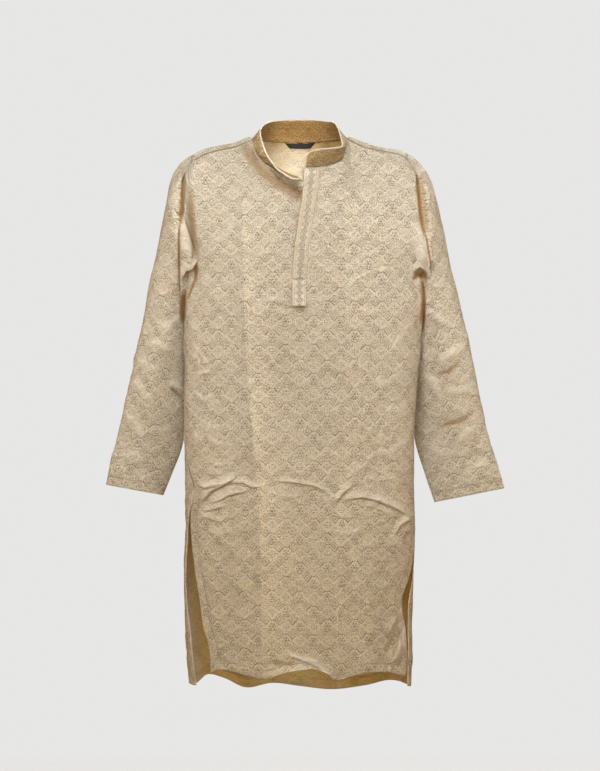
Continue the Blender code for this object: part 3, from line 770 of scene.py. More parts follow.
def curve(points: Sequence[Sequence[float]], count: int) -> Grid:
    """A row of points, evenly spaced, on a smooth curve through the given ones."""
    return along(np.column_stack([lengths(np.array(points)), points]), np.linspace(0, 1, count))


def soft_step(value: Grid) -> Grid:
    """0 below 0 and 1 above 1, with a smooth rise between."""
    t = np.clip(value, 0, 1)
    return t * t * (3 - 2 * t)


def bell(value: Grid) -> Grid:
    """1 at 0, with a smooth fall to next to nothing at 2 on either side."""
    return np.exp(-(value**2))


def tent(value: Grid) -> Grid:
    """1 at 0, with a straight fall to 0 at the tent's reach."""
    return np.clip(1 - value / TENT_REACH, 0, 1)


def unit(vectors: Grid) -> Grid:
    """Vectors brought to a length of 1."""
    return vectors / np.maximum(np.linalg.norm(vectors, axis=-1, keepdims=True), 1e-12)


def ring(height: float, degrees: Grid) -> Grid:
    """Points of the body's ring at one height.

    Args:
        height: the ring's height.
        degrees: the angles wanted, from centre front.

    Returns:
        A row of points.
    """
    left, right, front, back = along(BODY, height)
    side, ahead = np.sin(np.radians(degrees)), np.cos(np.radians(degrees))
    x = np.where(side < 0, left, right) * np.sign(side) * np.abs(side) ** BODY_ROUND
    y = -np.where(ahead > 0, front, back) * np.sign(ahead) * np.abs(ahead) ** BODY_ROUND
    return np.column_stack([x, y, np.full_like(x, height)])


def ring_run(height: float, start: float, end: float, count: int) -> Grid:
    """Points of a ring between two angles.

    Args:
        height: the ring's height.
        start: the first angle.
        end: the last angle.
        count: how many points are wanted.

    Returns:
        A row of points, evenly spaced along the cloth.
    """
    dense = ring(height, np.linspace(start, end, RING_SAMPLES))
    wanted = np.linspace(0, 1, count)
    return np.column_stack([np.interp(wanted, lengths(dense), axis) for axis in dense.T])


def centre_front(height: float) -> float:
    """The angle of the centre front line, which the neck slit ends on."""
    left = along(BODY, height)[0]
    return -np.degrees(np.arcsin((NECK_SLIT_OFFSET / left) ** (1 / BODY_ROUND)))


def skirt_levels() -> Grid:
    """The heights of the skirt's rows, closer together at the pressed fold and at the hem.

    Returns:
        The heights, from the hem up.
    """
    even = np.linspace(HEM_LEVEL, CHEST_LEVEL, RING_SAMPLES)
    density = 1.0 + sum(extra * bell((even - level) / reach) for level, reach, extra in CLOSE_ROWS)
    run = np.concatenate([[0], np.cumsum((density[1:] + density[:-1]) / 2)])
    return np.interp(np.linspace(0, run[-1], SKIRT_ROWS + 1), run, even)


def skirt(edge: Side, centre: Height, hem: Sequence[HemPoint]) -> Grid:
    """Half a panel from the hem up to the chest.

    Args:
        edge: its side edge.
        centre: the centre line's angle at a height.
        hem: the hem's heights across the body.

    Returns:
        A grid of points, its columns from the side edge to the centre.
    """
    rows = []
    for level in skirt_levels():
        row = ring_run(level, along(SIDE_EDGES, level)[edge.value], centre(level), HALF_COLUMNS + 1)
        near = max(0.0, 1 - (level - HEM_LEVEL) / HEM_REACH) ** 2
        row[:, 2] += near * (along(hem, row[:, 0])[:, 0] - HEM_LEVEL)
        rows.append(row)
    return np.array(rows)


def yoke(foot: Grid, head: Grid, aim: Grid, armhole: Sequence[Point]) -> Grid:
    """Half a panel above the chest.

    Args:
        foot: where its columns start, straight up.
        head: where they end, at the shoulder and the neck.
        aim: their headings there.
        armhole: the armhole, which its side is pulled to.

    Returns:
        A grid of points, rows from the chest up.
    """
    even = np.linspace(0, 1, YOKE_ROWS + 1)
    v = (even + YOKE_CROWDING * np.sin(np.pi * even))[:, None, None]
    reach = np.linalg.norm(head - foot, axis=1)[:, None]
    rows = hermite(foot, head, reach * UP, reach * aim, v)
    pull = curve(armhole, YOKE_ROWS + 1) - rows[:, 0]
    share = np.linspace(1, 0, HALF_COLUMNS + 1) ** ARMHOLE_PULL_FADE
    return rows + pull[:, None, :] * share[None, :, None]


def half_panel(
    edge: Side, centre: Height, hem: Sequence[HemPoint], seams: Seams, aims: Sequence[Sequence[float]]
) -> Grid:
    """Half a panel from hem to neck.

    Args:
        edge: its side edge.
        centre: the centre line's angle at a height.
        hem: the hem's heights across the body.
        seams: its armhole, shoulder and neckline.
        aims: the cloth's heading along its head, by share.

    Returns:
        A grid of points, rows from the hem up and columns from the side in.
    """
    lower = skirt(edge, centre, hem)
    over_shoulder = curve(seams.shoulder, HALF_COLUMNS - NECK_COLUMNS + 1)
    head = np.vstack([over_shoulder, curve(seams.neck, NECK_COLUMNS + 1)[1:]])
    aim = unit(along(aims, np.linspace(0, 1, HALF_COLUMNS + 1)))
    return np.vstack([lower, yoke(lower[-1], head, aim, seams.armhole)[1:]])


def normals(grid: Grid) -> Grid:
    """Outward directions over a grid of points."""
    return unit(np.cross(np.gradient(grid, axis=1), np.gradient(grid, axis=0)))


def edge_distance(grid: Grid, edge: Edge) -> Grid:
    """How far each point of a grid lies from one of its edges, along its row or column.

    Args:
        grid: the points.
        edge: the edge.

    Returns:
        The distances in metres.
    """
    if edge in (Edge.FIRST, Edge.LAST):
        steps = np.linalg.norm(np.diff(grid, axis=1), axis=2)
        run = np.hstack([np.zeros((len(grid), 1)), np.cumsum(steps, axis=1)])
        return run if edge is Edge.FIRST else run[:, -1:] - run
    steps = np.linalg.norm(np.diff(grid, axis=0), axis=2)
    run = np.vstack([np.zeros((1, grid.shape[1])), np.cumsum(steps, axis=0)])
    return run if edge is Edge.FOOT else run[-1:] - run


def beside(line: Grid, spots: Grid) -> tuple[Grid, Grid, Grid]:
    """Where spots lie beside a line of points.

    Args:
        line: the line.
        spots: the spots.

    Returns:
        Each spot's distance from the line, its share along it, and its side, 1 being the left.
    """
    best = np.full(len(spots), np.inf)
    share, side = np.zeros(len(spots)), np.zeros(len(spots))
    stops = lengths(line)
    for start, end, low, high in zip(line[:-1], line[1:], stops[:-1], stops[1:]):
        run = end - start
        t = np.clip((spots - start) @ run / (run @ run), 0, 1)
        offset = spots - start - t[:, None] * run
        distance = np.linalg.norm(offset, axis=1)
        closer = distance < best
        best = np.where(closer, distance, best)
        share = np.where(closer, low + (high - low) * t, share)
        side = np.where(closer, np.sign(run[0] * offset[:, 1] - run[1] * offset[:, 0]), side)
    return best, share, side


def press(grid: Grid, creases: Sequence[Crease]) -> tuple[Grid, Grid]:
    """What the creases do to each point of a grid.

    Args:
        grid: the points.
        creases: the creases on them.

    Returns:
        How far each point is raised, in metres, and two marks from 0 to 1: painted shade for how deep it lies
        in a fold, and painted highlight for how near it lies to a crest.
    """
    place = grid[..., [0, 2]] / MM
    total = np.zeros(grid.shape[:2])
    marks = np.zeros((*grid.shape[:2], 2))
    for crease in creases:
        line = crease.path()
        reach = CREASE_REACH * crease.width * (1 + abs(crease.lean)) + CREASE_MARGIN
        near = np.all((place > line.min(axis=0) - reach) & (place < line.max(axis=0) + reach), axis=-1)
        away, share, side = beside(line, place[near])
        ends = soft_step(np.minimum(share, 1 - share) / CREASE_END + CREASE_END_LEVEL)
        taper = 1 - crease.sharp * (1 - ends) * CREASE_TAPER
        t = away / (crease.width * (1 - crease.lean * side) * taper)
        profile = (1 - crease.sharp) * bell(t) + crease.sharp * tent(t)
        total[near] += crease.raised * MM * profile * ends * soft_step((CREASE_REACH - t) / CREASE_FADE)
        marks[near] = np.maximum(marks[near], crease.marks(t, away, side, ends))
    return total, marks


def painted_press_light(grid: Grid, cloth: Grid) -> Grid:
    """The painted light beside the long pressed lines, and the painted shade across them.

    Args:
        grid: the points.
        cloth: their places on the flat cloth.

    Returns:
        The change in brightness, as a share of it.
    """
    total = np.zeros(grid.shape[:2])
    for table in PRESSED_LINES:
        at, bright, reach, dim = np.moveaxis(along(table, grid[..., 2]), -1, 0)
        off = grid[..., 0] - at
        total += bright * bell(off / reach) * soft_step(off / PRESS_EDGE + 0.5)
        total -= dim * bell(off / PRESS_DIM) * soft_step(0.5 - off / PRESS_EDGE)
    return total * (0.85 + 0.30 * value_noise(cloth / PRESS_PATCH, PRESS_SEED))


def fold_armholes(grid: Grid) -> tuple[Grid, Grid]:
    """A grid with the armhole folds pushed into its front.

    Args:
        grid: the points.

    Returns:
        The folded points, and the painted shade and highlight that the folds leave.
    """
    depth, marks = press(grid, ARMHOLE_FOLDS)
    folded = grid.copy()
    folded[..., 1] -= depth * soft_step((FOLD_BACK_LIMIT - grid[..., 1]) / FOLD_FADE)
    return folded, marks * soft_step((MARK_BACK_LIMIT - grid[..., 1]) / MARK_FADE)[..., None]


def press_tube(grid: Grid, out: Grid, creases: Sequence[Crease]) -> tuple[Grid, Grid]:
    """What creases do to a tube, where each one fades out on the tube's other side.

    Args:
        grid: the points.
        out: their outward directions.
        creases: the creases on them.

    Returns:
        How far each point is raised, in metres, and its two marks.
    """
    total = np.zeros(grid.shape[:2])
    marks = np.zeros((*grid.shape[:2], 2))
    for facing in Facing:
        faces = soft_step(0.5 + 1.2 * facing.value * out[..., 1])
        height, found = press(grid, [crease for crease in creases if crease.facing is facing])
        total += height * faces
        marks = np.maximum(marks, found * faces[..., None])
    return total, marks


def value_noise(place: Grid, seed: int) -> Grid:
    """Smooth noise from -1 to 1 with a grain of one unit.

    Args:
        place: the places, two numbers each.
        seed: the noise's seed.

    Returns:
        One value a place.
    """
    table = np.random.default_rng(seed).random((NOISE_CELLS, NOISE_CELLS)) * 2 - 1
    cell = np.floor(place).astype(int)
    t = place - cell
    s, t = np.moveaxis(t * t * t * (t * (6 * t - 15) + 10), -1, 0)
    i, j = np.moveaxis(cell % NOISE_CELLS, -1, 0)
    i2, j2 = (i + 1) % NOISE_CELLS, (j + 1) % NOISE_CELLS
    low = table[i, j] * (1 - s) + table[i2, j] * s
    high = table[i, j2] * (1 - s) + table[i2, j2] * s
    return low * (1 - t) + high * t


@dataclass(frozen=True)
class Rumple:
    """The small unevenness of washed cotton: soft waves, and fine crumple lines between them."""

    waves: float = 0.0012
    wave_size: float = 0.070
    crumples: float = 0.0020
    crumple_size: float = 0.036
    turn: float = 0.35
    bend_size: float = 0.05
    patch_size: float = 0.11
    seed: int = 3

    def heights(self, cloth: Grid) -> Grid:
        """How far each point is raised.

        Args:
            cloth: the points' places on the flat cloth, in metres.

        Returns:
            Heights in metres.
        """
        turned = np.stack(
            [cloth[..., 0] + self.turn * cloth[..., 1], cloth[..., 1] - self.turn * cloth[..., 0]], -1
        )
        waves = value_noise(turned / self.wave_size, self.seed)
        waves += 0.5 * value_noise(cloth / (0.47 * self.wave_size), self.seed + 1)
        bend = [value_noise(cloth / self.bend_size, self.seed + more) for more in (2, 3)]
        bent = turned / self.crumple_size + 0.55 * np.stack(bend, -1)
        lines = 1 - np.abs(value_noise(bent, self.seed + 4)) * 2.2
        fine = 1 - np.abs(value_noise(1.9 * bent + 7, self.seed + 5)) * 2.4
        where = soft_step(0.5 + 0.9 * value_noise(cloth / self.patch_size, self.seed + 6))
        lines = np.clip(lines, 0, 1) ** 2 + 0.45 * np.clip(fine, 0, 1) ** 2
        return self.waves * waves + self.crumples * (lines - 0.35) * where


def grain(grid: Grid, base: int, level_row: int, level: float, rise: Grid, over: Grid) -> Grid:
    """Places on the flat cloth, in metres across and along its grain.

    Args:
        grid: the points.
        base: the column that they are measured across from.
        level_row: the row where their place along the grain is known.
        level: their place there.
        rise: the direction of the grain.
        over: where the grain turns to as the cloth turns to face up.

    Returns:
        A grid of two numbers a point.
    """
    out = normals(grid)
    way = rise + over * np.clip(out[..., 2:], 0, 1) * GRAIN_TURN
    lengthwise = unit(way - np.sum(way * out, axis=2)[..., None] * out)
    crosswise = np.cross(lengthwise, out)
    across = np.sum(np.diff(grid, axis=1) * (crosswise[:, 1:] + crosswise[:, :-1]) / 2, axis=2)
    across = np.hstack([np.zeros((len(grid), 1)), np.cumsum(across, axis=1)])
    up = np.sum(np.diff(grid, axis=0) * (lengthwise[1:] + lengthwise[:-1]) / 2, axis=2)
    up = np.vstack([np.zeros((1, grid.shape[1])), np.cumsum(up, axis=0)])
    return np.stack([across - across[:, base : base + 1], up - up[level_row] + level], axis=-1)


def sample(grid: Grid, rows: Grid, columns: Grid) -> Grid:
    """Values of a grid between its points.

    Args:
        grid: the values.
        rows: the fractional rows wanted.
        columns: the fractional columns wanted.

    Returns:
        One value for each row and column given.
    """
    r = np.clip(rows, 0, grid.shape[0] - 1.0001)
    c = np.clip(columns, 0, grid.shape[1] - 1.0001)
    i, j = r.astype(int), c.astype(int)
    s, t = (r - i)[:, None], (c - j)[:, None]
    low = grid[i, j] * (1 - t) + grid[i, j + 1] * t
    high = grid[i + 1, j] * (1 - t) + grid[i + 1, j + 1] * t
    return low * (1 - s) + high * s


def inset_path(grid: Grid, edge: Edge, inset: float, start: float, end: float) -> tuple[Grid, Grid]:
    """A line on a grid at a steady distance from one edge.

    Args:
        grid: the points.
        edge: the edge that it follows.
        inset: its distance from that edge, in metres.
        start: where it starts along the edge, as a share of the edge's points.
        end: where it ends.

    Returns:
        The line's fractional rows and columns.
    """
    upright = edge in (Edge.FIRST, Edge.LAST)
    distance = edge_distance(grid, edge).T if upright else edge_distance(grid, edge)
    count = distance.shape[1]
    places = np.arange(round(start * (count - 1)), round(end * (count - 1)) + 1)
    depth = np.arange(distance.shape[0])
    if edge in (Edge.LAST, Edge.HEAD):
        distance, depth = distance[::-1], depth[::-1]
    found = np.array([np.interp(inset, distance[:, place], depth) for place in places])
    return (places.astype(float), found) if upright else (found, places.astype(float))


class Signal:
    """A value in a shader graph, with the arithmetic that adds its math nodes."""

    def __init__(self, graph: "Graph", socket: bpy.types.NodeSocket) -> None:
        """Reads a node's output."""
        self.graph = graph
        self.socket = socket

    def __getitem__(self, name: str) -> "Signal":
        """Another output of the same node."""
        return Signal(self.graph, self.socket.node.outputs[name])

    def __add__(self, other: object) -> "Signal":
        """The sum."""
        return self.graph.math("ADD", self, other)

    def __sub__(self, other: object) -> "Signal":
        """The difference."""
        return self.graph.math("SUBTRACT", self, other)

    def __rsub__(self, other: object) -> "Signal":
        """The difference from a plain number."""
        return self.graph.math("SUBTRACT", other, self)

    def __mul__(self, other: object) -> "Signal":
        """The product."""
        return self.graph.math("MULTIPLY", self, other)

    def __truediv__(self, other: object) -> "Signal":
        """The quotient."""
        return self.graph.math("DIVIDE", self, other)

    def __abs__(self) -> "Signal":
        """The value without its sign."""
        return self.graph.math("ABSOLUTE", self)


class Graph:
    """A shader node tree under construction."""

    def __init__(self, tree: bpy.types.NodeTree) -> None:
        """Starts an empty tree."""
        self.tree = tree
        tree.nodes.clear()

    def node(self, kind: str, inputs: dict, **settings: object) -> bpy.types.Node:
        """A new node.

        Args:
            kind: its type.
            inputs: signals or values for its sockets, by name or place.
            settings: its own settings.

        Returns:
            The node.
        """
        made = self.tree.nodes.new(kind)
        for name, value in settings.items():
            setattr(made, name, value)
        for label, value in inputs.items():
            if isinstance(value, Signal):
                self.tree.links.new(value.socket, made.inputs[label])
            else:
                made.inputs[label].default_value = value
        return made

    def read(self, kind: str, inputs: dict, output: str | int = 0, **settings: object) -> Signal:
        """One output of a new node."""
        return Signal(self, self.node(kind, inputs, **settings).outputs[output])

    def math(self, operation: str, *values: object) -> Signal:
        """The result of one math operation."""
        return self.read("ShaderNodeMath", dict(enumerate(values)), operation=operation)

    def most(self, *values: Signal) -> Signal:
        """The highest of several values."""
        return reduce(lambda first, second: self.math("MAXIMUM", first, second), values)

    def ramp(self, value: Signal, low: float, high: float, start: float = 0.0, end: float = 1.0) -> Signal:
        """A smooth step of a value from `start` at `low` to `end` at `high`."""
        limits = {"Value": value, "From Min": low, "From Max": high, "To Min": start, "To Max": end}
        return self.read("ShaderNodeMapRange", limits, "Result", interpolation_type="SMOOTHSTEP")

    def line(self, value: Signal, centre: float, half: float) -> Signal:
        """1 where a value is at `centre`, and 0 from `half` away."""
        return self.ramp(abs(value - centre), 0.0, half, 1.0, 0.0)

    def noise(self, place: Signal, scale: float, detail: float = 2.0) -> Signal:
        """Noise from 0 to 1 at a place."""
        return self.read("ShaderNodeTexNoise", {"Vector": place, "Scale": scale, "Detail": detail}, "Fac")

    def stretch(self, place: Signal, scale: tuple[float, float, float]) -> Signal:
        """A place with each axis scaled."""
        return self.read("ShaderNodeVectorMath", {0: place, 1: scale}, operation="MULTIPLY")

    def split(self, place: Signal) -> Signal:
        """A place's numbers, as the outputs X, Y and Z."""
        return self.read("ShaderNodeSeparateXYZ", {0: place})

    def mix(self, share: Signal, first: object, second: object, blend: str = "MIX") -> Signal:
        """A colour between two, or one blended over the other."""
        colours = {"Factor": share, "A": first, "B": second}
        return self.read("ShaderNodeMix", colours, "Result", data_type="RGBA", blend_type=blend)

    def layer(self, name: str) -> Signal:
        """One of the cloth's own maps."""
        return self.read("ShaderNodeUVMap", {}, "UV", uv_map=name)

    def group(self, tree: bpy.types.NodeTree, inputs: dict) -> Signal:
        """A shared group, placed with its own values."""
        return self.read("ShaderNodeGroup", inputs, node_tree=tree)

    def bump(self, height: Signal, distance: float, strength: float = 1.0) -> Signal:
        """Normals that follow a height."""
        sizes = {"Strength": strength, "Distance": distance, "Height": height}
        return self.read("ShaderNodeBump", sizes, "Normal")

    def surface(self, inputs: dict[str, object]) -> None:
        """Ends a material with its surface."""
        surface = self.read("ShaderNodeBsdfPrincipled", inputs, "BSDF")
        self.node("ShaderNodeOutputMaterial", {"Surface": surface})


def start_group(
    name: str, vectors: Sequence[str], numbers: Sequence[str], outputs: Sequence[str]
) -> tuple[bpy.types.NodeTree, Graph, Signal]:
    """A new shader node group with named sockets.

    Args:
        name: the group's name.
        vectors: the names of the places that it takes.
        numbers: the names of the numbers that it takes.
        outputs: the names of the numbers that it puts out.

    Returns:
        The group, its graph and its inputs.
    """
    group = bpy.data.node_groups.new(name, "ShaderNodeTree")
    sockets = [(label, "INPUT", "NodeSocketVector") for label in vectors]
    sockets += [(label, "INPUT", "NodeSocketFloat") for label in numbers]
    sockets += [(label, "OUTPUT", "NodeSocketFloat") for label in outputs]
    for label, way, kind in sockets:
        group.interface.new_socket(name=label, in_out=way, socket_type=kind)
    graph = Graph(group)
    return group, graph, graph.read("NodeGroupInput", {})


def end_pattern(g: Graph, dark: Signal, light: Signal) -> None:
    """Puts out a pattern's dark and light thread, and the relief that both give."""
    g.node("NodeGroupOutput", {"Dark": dark, "Light": light, "Relief": light * 0.8 + 0.4 - dark * 0.7})


def embroidery_group() -> bpy.types.NodeTree:
    """The allover lattice: rosettes and ovals in turn, each under a small arch, with dotted diamonds between.

    Returns:
        The group.
    """
    group, g, given = start_group("embroidered_lattice", ("Cloth",), ("Pitch",), ("Dark", "Light", "Relief"))
    cloth, pitch = given["Cloth"], given["Pitch"]
    moved = cloth
    for scale, amount in ((30.0, 0.0090), (170.0, 0.0032)):
        drift = g.noise(cloth, scale)["Color"]
        terms = {0: drift, 1: (amount, amount, 0.0), 2: moved}
        moved = g.read("ShaderNodeVectorMath", terms, operation="MULTIPLY_ADD")
    place = g.split(moved)
    across, up = place["X"] / pitch, place["Y"] / (pitch * LATTICE_TALL)
    column, row = g.math("FLOOR", across), g.math("FLOOR", up)
    x, y = across - column - 0.5, up - row - 0.5
    odd = g.math("FLOORED_MODULO", column + row, 2.0)
    even = 1.0 - odd
    width, rise = abs(x), abs(y)
    away = 1.0 - (width + rise)
    radius = g.math("SQRT", x * x + y * y)
    oval = g.math("SQRT", x * x + y * y * 1.5)
    roof = g.most(rise, (width + rise) * 0.72)
    turn = g.math("ARCTAN2", y, x)
    worn = g.ramp(g.noise(cloth, 60.0), 0.34, 0.60, 0.50, 1.15)
    broken = g.ramp(g.noise(cloth, 520.0, 1.0), 0.38, 0.56, 0.25, 1.15)
    flecks = g.noise(g.stretch(cloth, FLECK_SCALE), 1.0, 1.0)

    dots = g.line(radius, 0.20, 0.100) * g.ramp(g.math("COSINE", turn * 6.0), -0.2, 0.5)
    centre = g.ramp(radius, 0.04, 0.12, 1.0, 0.0)
    smile = g.line(radius, 0.34, 0.065) * g.ramp(y, -0.24, -0.10, 1.0, 0.0)
    rosette = g.most(dots, centre, smile) * even
    petals = g.ramp(g.math("COSINE", turn * 4.0), -0.4, 0.6, 0.15, 1.0)
    dash = g.line(y, -0.03, 0.04) * g.ramp(width, 0.12, 0.20, 0.55, 0.0)
    quiet = g.most(g.line(oval, 0.21, 0.06) * petals * 0.75, dash) * odd
    arch = g.line(roof, 0.44, 0.048) * g.ramp(y, -0.05, 0.20, 0.0, 0.95) * (0.98 - odd * 0.55)
    diamond = g.line(away, 0.15, 0.055) * 0.75
    beads = g.line(away, 0.34, 0.07) * g.ramp(g.math("COSINE", (width - rise) * 44.0), -0.2, 0.5)
    steady = rosette * g.ramp(broken, 0.25, 1.15, 0.46, 1.00) * g.ramp(worn, 0.50, 1.15, 0.72, 1.05)
    dark = g.most(quiet, arch, diamond, beads) * worn * broken
    dark = g.most(dark, steady, g.ramp(flecks, 0.56, 0.68, 0.0, 0.60))

    arcs = g.most(g.line(oval, 0.13, 0.05), g.line(oval, 0.27, 0.045) * 0.6) * odd
    knot = g.ramp(away, 0.02, 0.10, 1.0, 0.0) * 0.8
    halo = g.line(radius, 0.275, 0.045) * even
    inner = g.line(roof, 0.37, 0.060) * g.ramp(y, -0.3, 0.1, 0.75, 1.0)
    scallop = g.line(away, 0.25, 0.05) * 0.8
    light = g.most(arcs, knot, halo, scallop, inner) * worn * g.ramp(flecks, 0.40, 0.54, 1.15, 0.35)
    end_pattern(g, dark, g.most(light, g.ramp(flecks, 0.32, 0.42, 0.95, 0.0)))
    return group


def chain_group() -> bpy.types.NodeTree:
    """The placket's own pattern: an upright chain of small diamonds between two dotted lines.

    Returns:
        The group.
    """
    group, g, given = start_group("diamond_chain", ("Cloth",), ("Pitch",), ("Dark", "Light", "Relief"))
    cloth, pitch = given["Cloth"], given["Pitch"]
    place = g.split(cloth)
    up = place["Y"] / pitch
    x, y = abs(place["X"] / pitch), abs(up - g.math("FLOOR", up) - 0.5)
    reach = x + y
    side = g.line(x, 0.72, 0.07) * g.ramp(g.math("COSINE", place["Y"] * 1700.0), -0.3, 0.4)
    broken = g.ramp(g.noise(cloth, 420.0, 1.0), 0.30, 0.6, 0.25, 1.0)
    flecks = g.noise(g.stretch(cloth, FLECK_SCALE), 1.0, 1.0)
    outline = g.most(g.line(reach, 0.42, 0.10), g.ramp(reach, 0.05, 0.14, 1.0, 0.0))
    dark = g.most(outline, side * 0.7) * broken
    light = g.most(g.line(reach, 0.26, 0.08), g.line(reach, 0.58, 0.07) * 0.7)
    dark = g.most(dark, g.ramp(flecks, 0.56, 0.70, 0.0, 0.6))
    end_pattern(g, dark, g.most(light, g.ramp(flecks, 0.30, 0.42, 0.8, 0.0)))
    return group


def weave_group() -> bpy.types.NodeTree:
    """The cloth itself: crosswise ribs of uneven thread, slubs, puckers and a soft mottling.

    Returns:
        The group.
    """
    outputs = ("Tone", "Mottle", "Relief", "Rosy", "Olive")
    group, g, given = start_group("slub_weave", ("Cloth",), (), outputs)
    cloth = given["Cloth"]
    ribs = g.noise(g.stretch(cloth, (75.0, 620.0, 1.0)), 1.0)
    slubs = g.noise(g.stretch(cloth, (38.0, 260.0, 1.0)), 1.0, 1.0)
    threads = g.noise(g.stretch(cloth, (900.0, 900.0, 1.0)), 1.0, 1.0)
    crinkle = g.noise(cloth, 190.0, 3.0)
    ridges = []
    for scale, share in ((30.0, 0.60), (85.0, 0.45)):
        sizes = {"Scale": scale, "Detail": 2.0, "Roughness": 0.5, "Distortion": 0.6}
        folds = {"Vector": g.stretch(cloth, (1.0, 1.2, 1.0)), **sizes}
        ridges.append(g.read("ShaderNodeTexNoise", folds, "Fac", noise_type="RIDGED_MULTIFRACTAL") * share)
    pressed = g.ramp(g.noise(cloth, 9.0, 1.0), 0.40, 0.62, 0.30, 1.0)
    made = {
        "Tone": ribs * 0.5 + slubs * 0.3 + threads * 0.2,
        "Mottle": g.noise(cloth, 14.0, 3.0),
        "Rosy": g.noise(g.stretch(cloth, (52.0, 40.0, 1.0)), 1.0, 3.0),
        "Olive": g.noise(g.stretch(cloth, (-44.0, 47.0, 1.0)), 1.0, 3.0),
        "Relief": ribs * 0.35 + crinkle * 0.65 + (ridges[0] + ridges[1]) * pressed,
    }
    g.node("NodeGroupOutput", made)
    return group


def border_group() -> bpy.types.NodeTree:
    """Seams and edges: a ditch at each seam, a ridge beside it, and the step where a turned-in edge ends. Its
    Dark output is painted shade in the ditch, at the step and along the stitching.

    Returns:
        The group.
    """
    group, g, given = start_group("seams_and_edges", ("Border",), (), ("Dark", "Relief"))
    border = g.split(given["Border"])
    sewn, free = border["X"], border["Y"]
    ditch = g.ramp(sewn, 0.0004, 0.0026, 1.0, 0.0)
    welt = g.line(sewn, 0.0045, 0.0022)
    turned = g.ramp(free, 0.0185, 0.0205, 1.0, 0.0)
    lip = g.line(free, 0.0195, 0.0016)
    stitched = g.line(free, 0.0165, 0.0012)
    relief = turned * 0.6 + welt * 0.8 - g.most(ditch, stitched)
    g.node("NodeGroupOutput", {"Dark": g.most(ditch, lip * 0.45, stitched * 0.3), "Relief": relief})
    return group


def start_material(name: str) -> tuple[bpy.types.Material, Graph]:
    """A new material.

    Args:
        name: its name.

    Returns:
        The material and its empty graph.
    """
    made = bpy.data.materials.new(name)
    made.use_nodes = True
    return made, Graph(made.node_tree)


@dataclass(frozen=True)
class CottonFinish:
    """Embroidered slub cotton. Colours are linear."""

    name: str
    base: Colour = (0.735, 0.665, 0.548, 1.0)
    dark: Colour = (0.205, 0.140, 0.075, 1.0)
    light: Colour = (0.980, 0.940, 0.850, 1.0)
    # hollow and deep are painted shade for creases, folds, gaps and seam ditches; crest is a painted
    # highlight.
    hollow: Colour = (0.360, 0.225, 0.095, 1.0)
    deep: Colour = (0.410, 0.220, 0.080, 1.0)
    crest: Colour = (0.970, 0.920, 0.820, 1.0)
    rosy: Colour = (0.990, 0.930, 0.880, 1.0)
    olive: Colour = (0.930, 0.945, 0.850, 1.0)
    # foot is the colour taken on towards the hem: painted light, warmer or brighter there.
    foot: Colour | None = None
    dark_share: float = 0.86
    light_share: float = 0.95
    slub: float = 0.20
    mottle: float = 0.10
    relief: float = 0.0024
    pitch: float = 0.0260
    pattern: Pattern = Pattern.LATTICE
    roughness: float = 0.86
    sheen: float = 0.12
    glow: float = 0.0
    glow_radius: tuple[float, float, float] = (1.0, 0.75, 0.45)
    glow_scale: float = 0.003

    def make(self, groups: Groups) -> bpy.types.Material:
        """The finish as a material.

        Args:
            groups: the shared shader groups.

        Returns:
            The material.
        """
        made, g = start_material(self.name)
        place = g.layer("cloth")
        thread = g.group(groups[self.pattern], {"Cloth": place, "Pitch": self.pitch})
        weave = g.group(groups[Pattern.WEAVE], {"Cloth": place})
        border = g.group(groups[Pattern.BORDER], {"Border": g.layer("border")})
        base = self.base
        if self.foot:
            base = g.mix(g.ramp(g.split(place)["Y"], -0.95, -0.45), self.foot, self.base)
        shade = g.mix(g.ramp(weave["Mottle"], 0.3, 0.7, 0.0, self.mottle), base, self.dark)
        for patch, tint, low in (("Rosy", self.rosy, 0.52), ("Olive", self.olive, 0.54)):
            shade = g.mix(g.ramp(weave[patch], low, low + 0.16, 0.0, 0.8), shade, tint, "MULTIPLY")
        shade = g.mix(g.ramp(weave["Tone"], 0.36, 0.54, self.slub, 0.0), shade, self.dark)
        shade = g.mix(g.ramp(weave["Tone"], 0.50, 0.66, 0.0, self.slub), shade, self.light)
        shade = g.mix(thread["Light"] * self.light_share, shade, self.light)
        shade = g.mix(thread["Dark"] * self.dark_share, shade, self.dark)
        # Painted shade in the seam ditches, at the turned edges' steps and along the stitching.
        shade = g.mix(border["Dark"] * 0.5, shade, self.hollow)
        # Painted light and shade beside the pressed lines.
        brightness = g.split(g.layer("tone"))["X"] + 1.0
        shade = g.read("ShaderNodeVectorMath", {0: shade, "Scale": brightness}, operation="SCALE")
        # Painted highlight on crests and facets, then painted shade in creases and in the deepest folds.
        fold = g.split(g.layer("fold"))
        shade = g.mix(fold["Y"] * 0.85, shade, self.crest)
        shade = g.mix(g.ramp(fold["X"], 0.0, 0.5, 0.0, 0.75), shade, self.hollow)
        shade = g.mix(g.ramp(fold["X"], 0.45, 0.9, 0.0, 0.95), shade, self.deep)
        height = thread["Relief"] * 0.95 + weave["Relief"] + border["Relief"] * 0.9
        inputs = {
            "Base Color": shade,
            "Roughness": self.roughness,
            "Sheen Weight": self.sheen,
            "Specular IOR Level": 0.2,
            "Normal": g.bump(height, self.relief),
        }
        if self.glow:
            inputs["Subsurface Weight"] = self.glow
            inputs["Subsurface Radius"] = self.glow_radius
            inputs["Subsurface Scale"] = self.glow_scale
        g.surface(inputs)
        return made


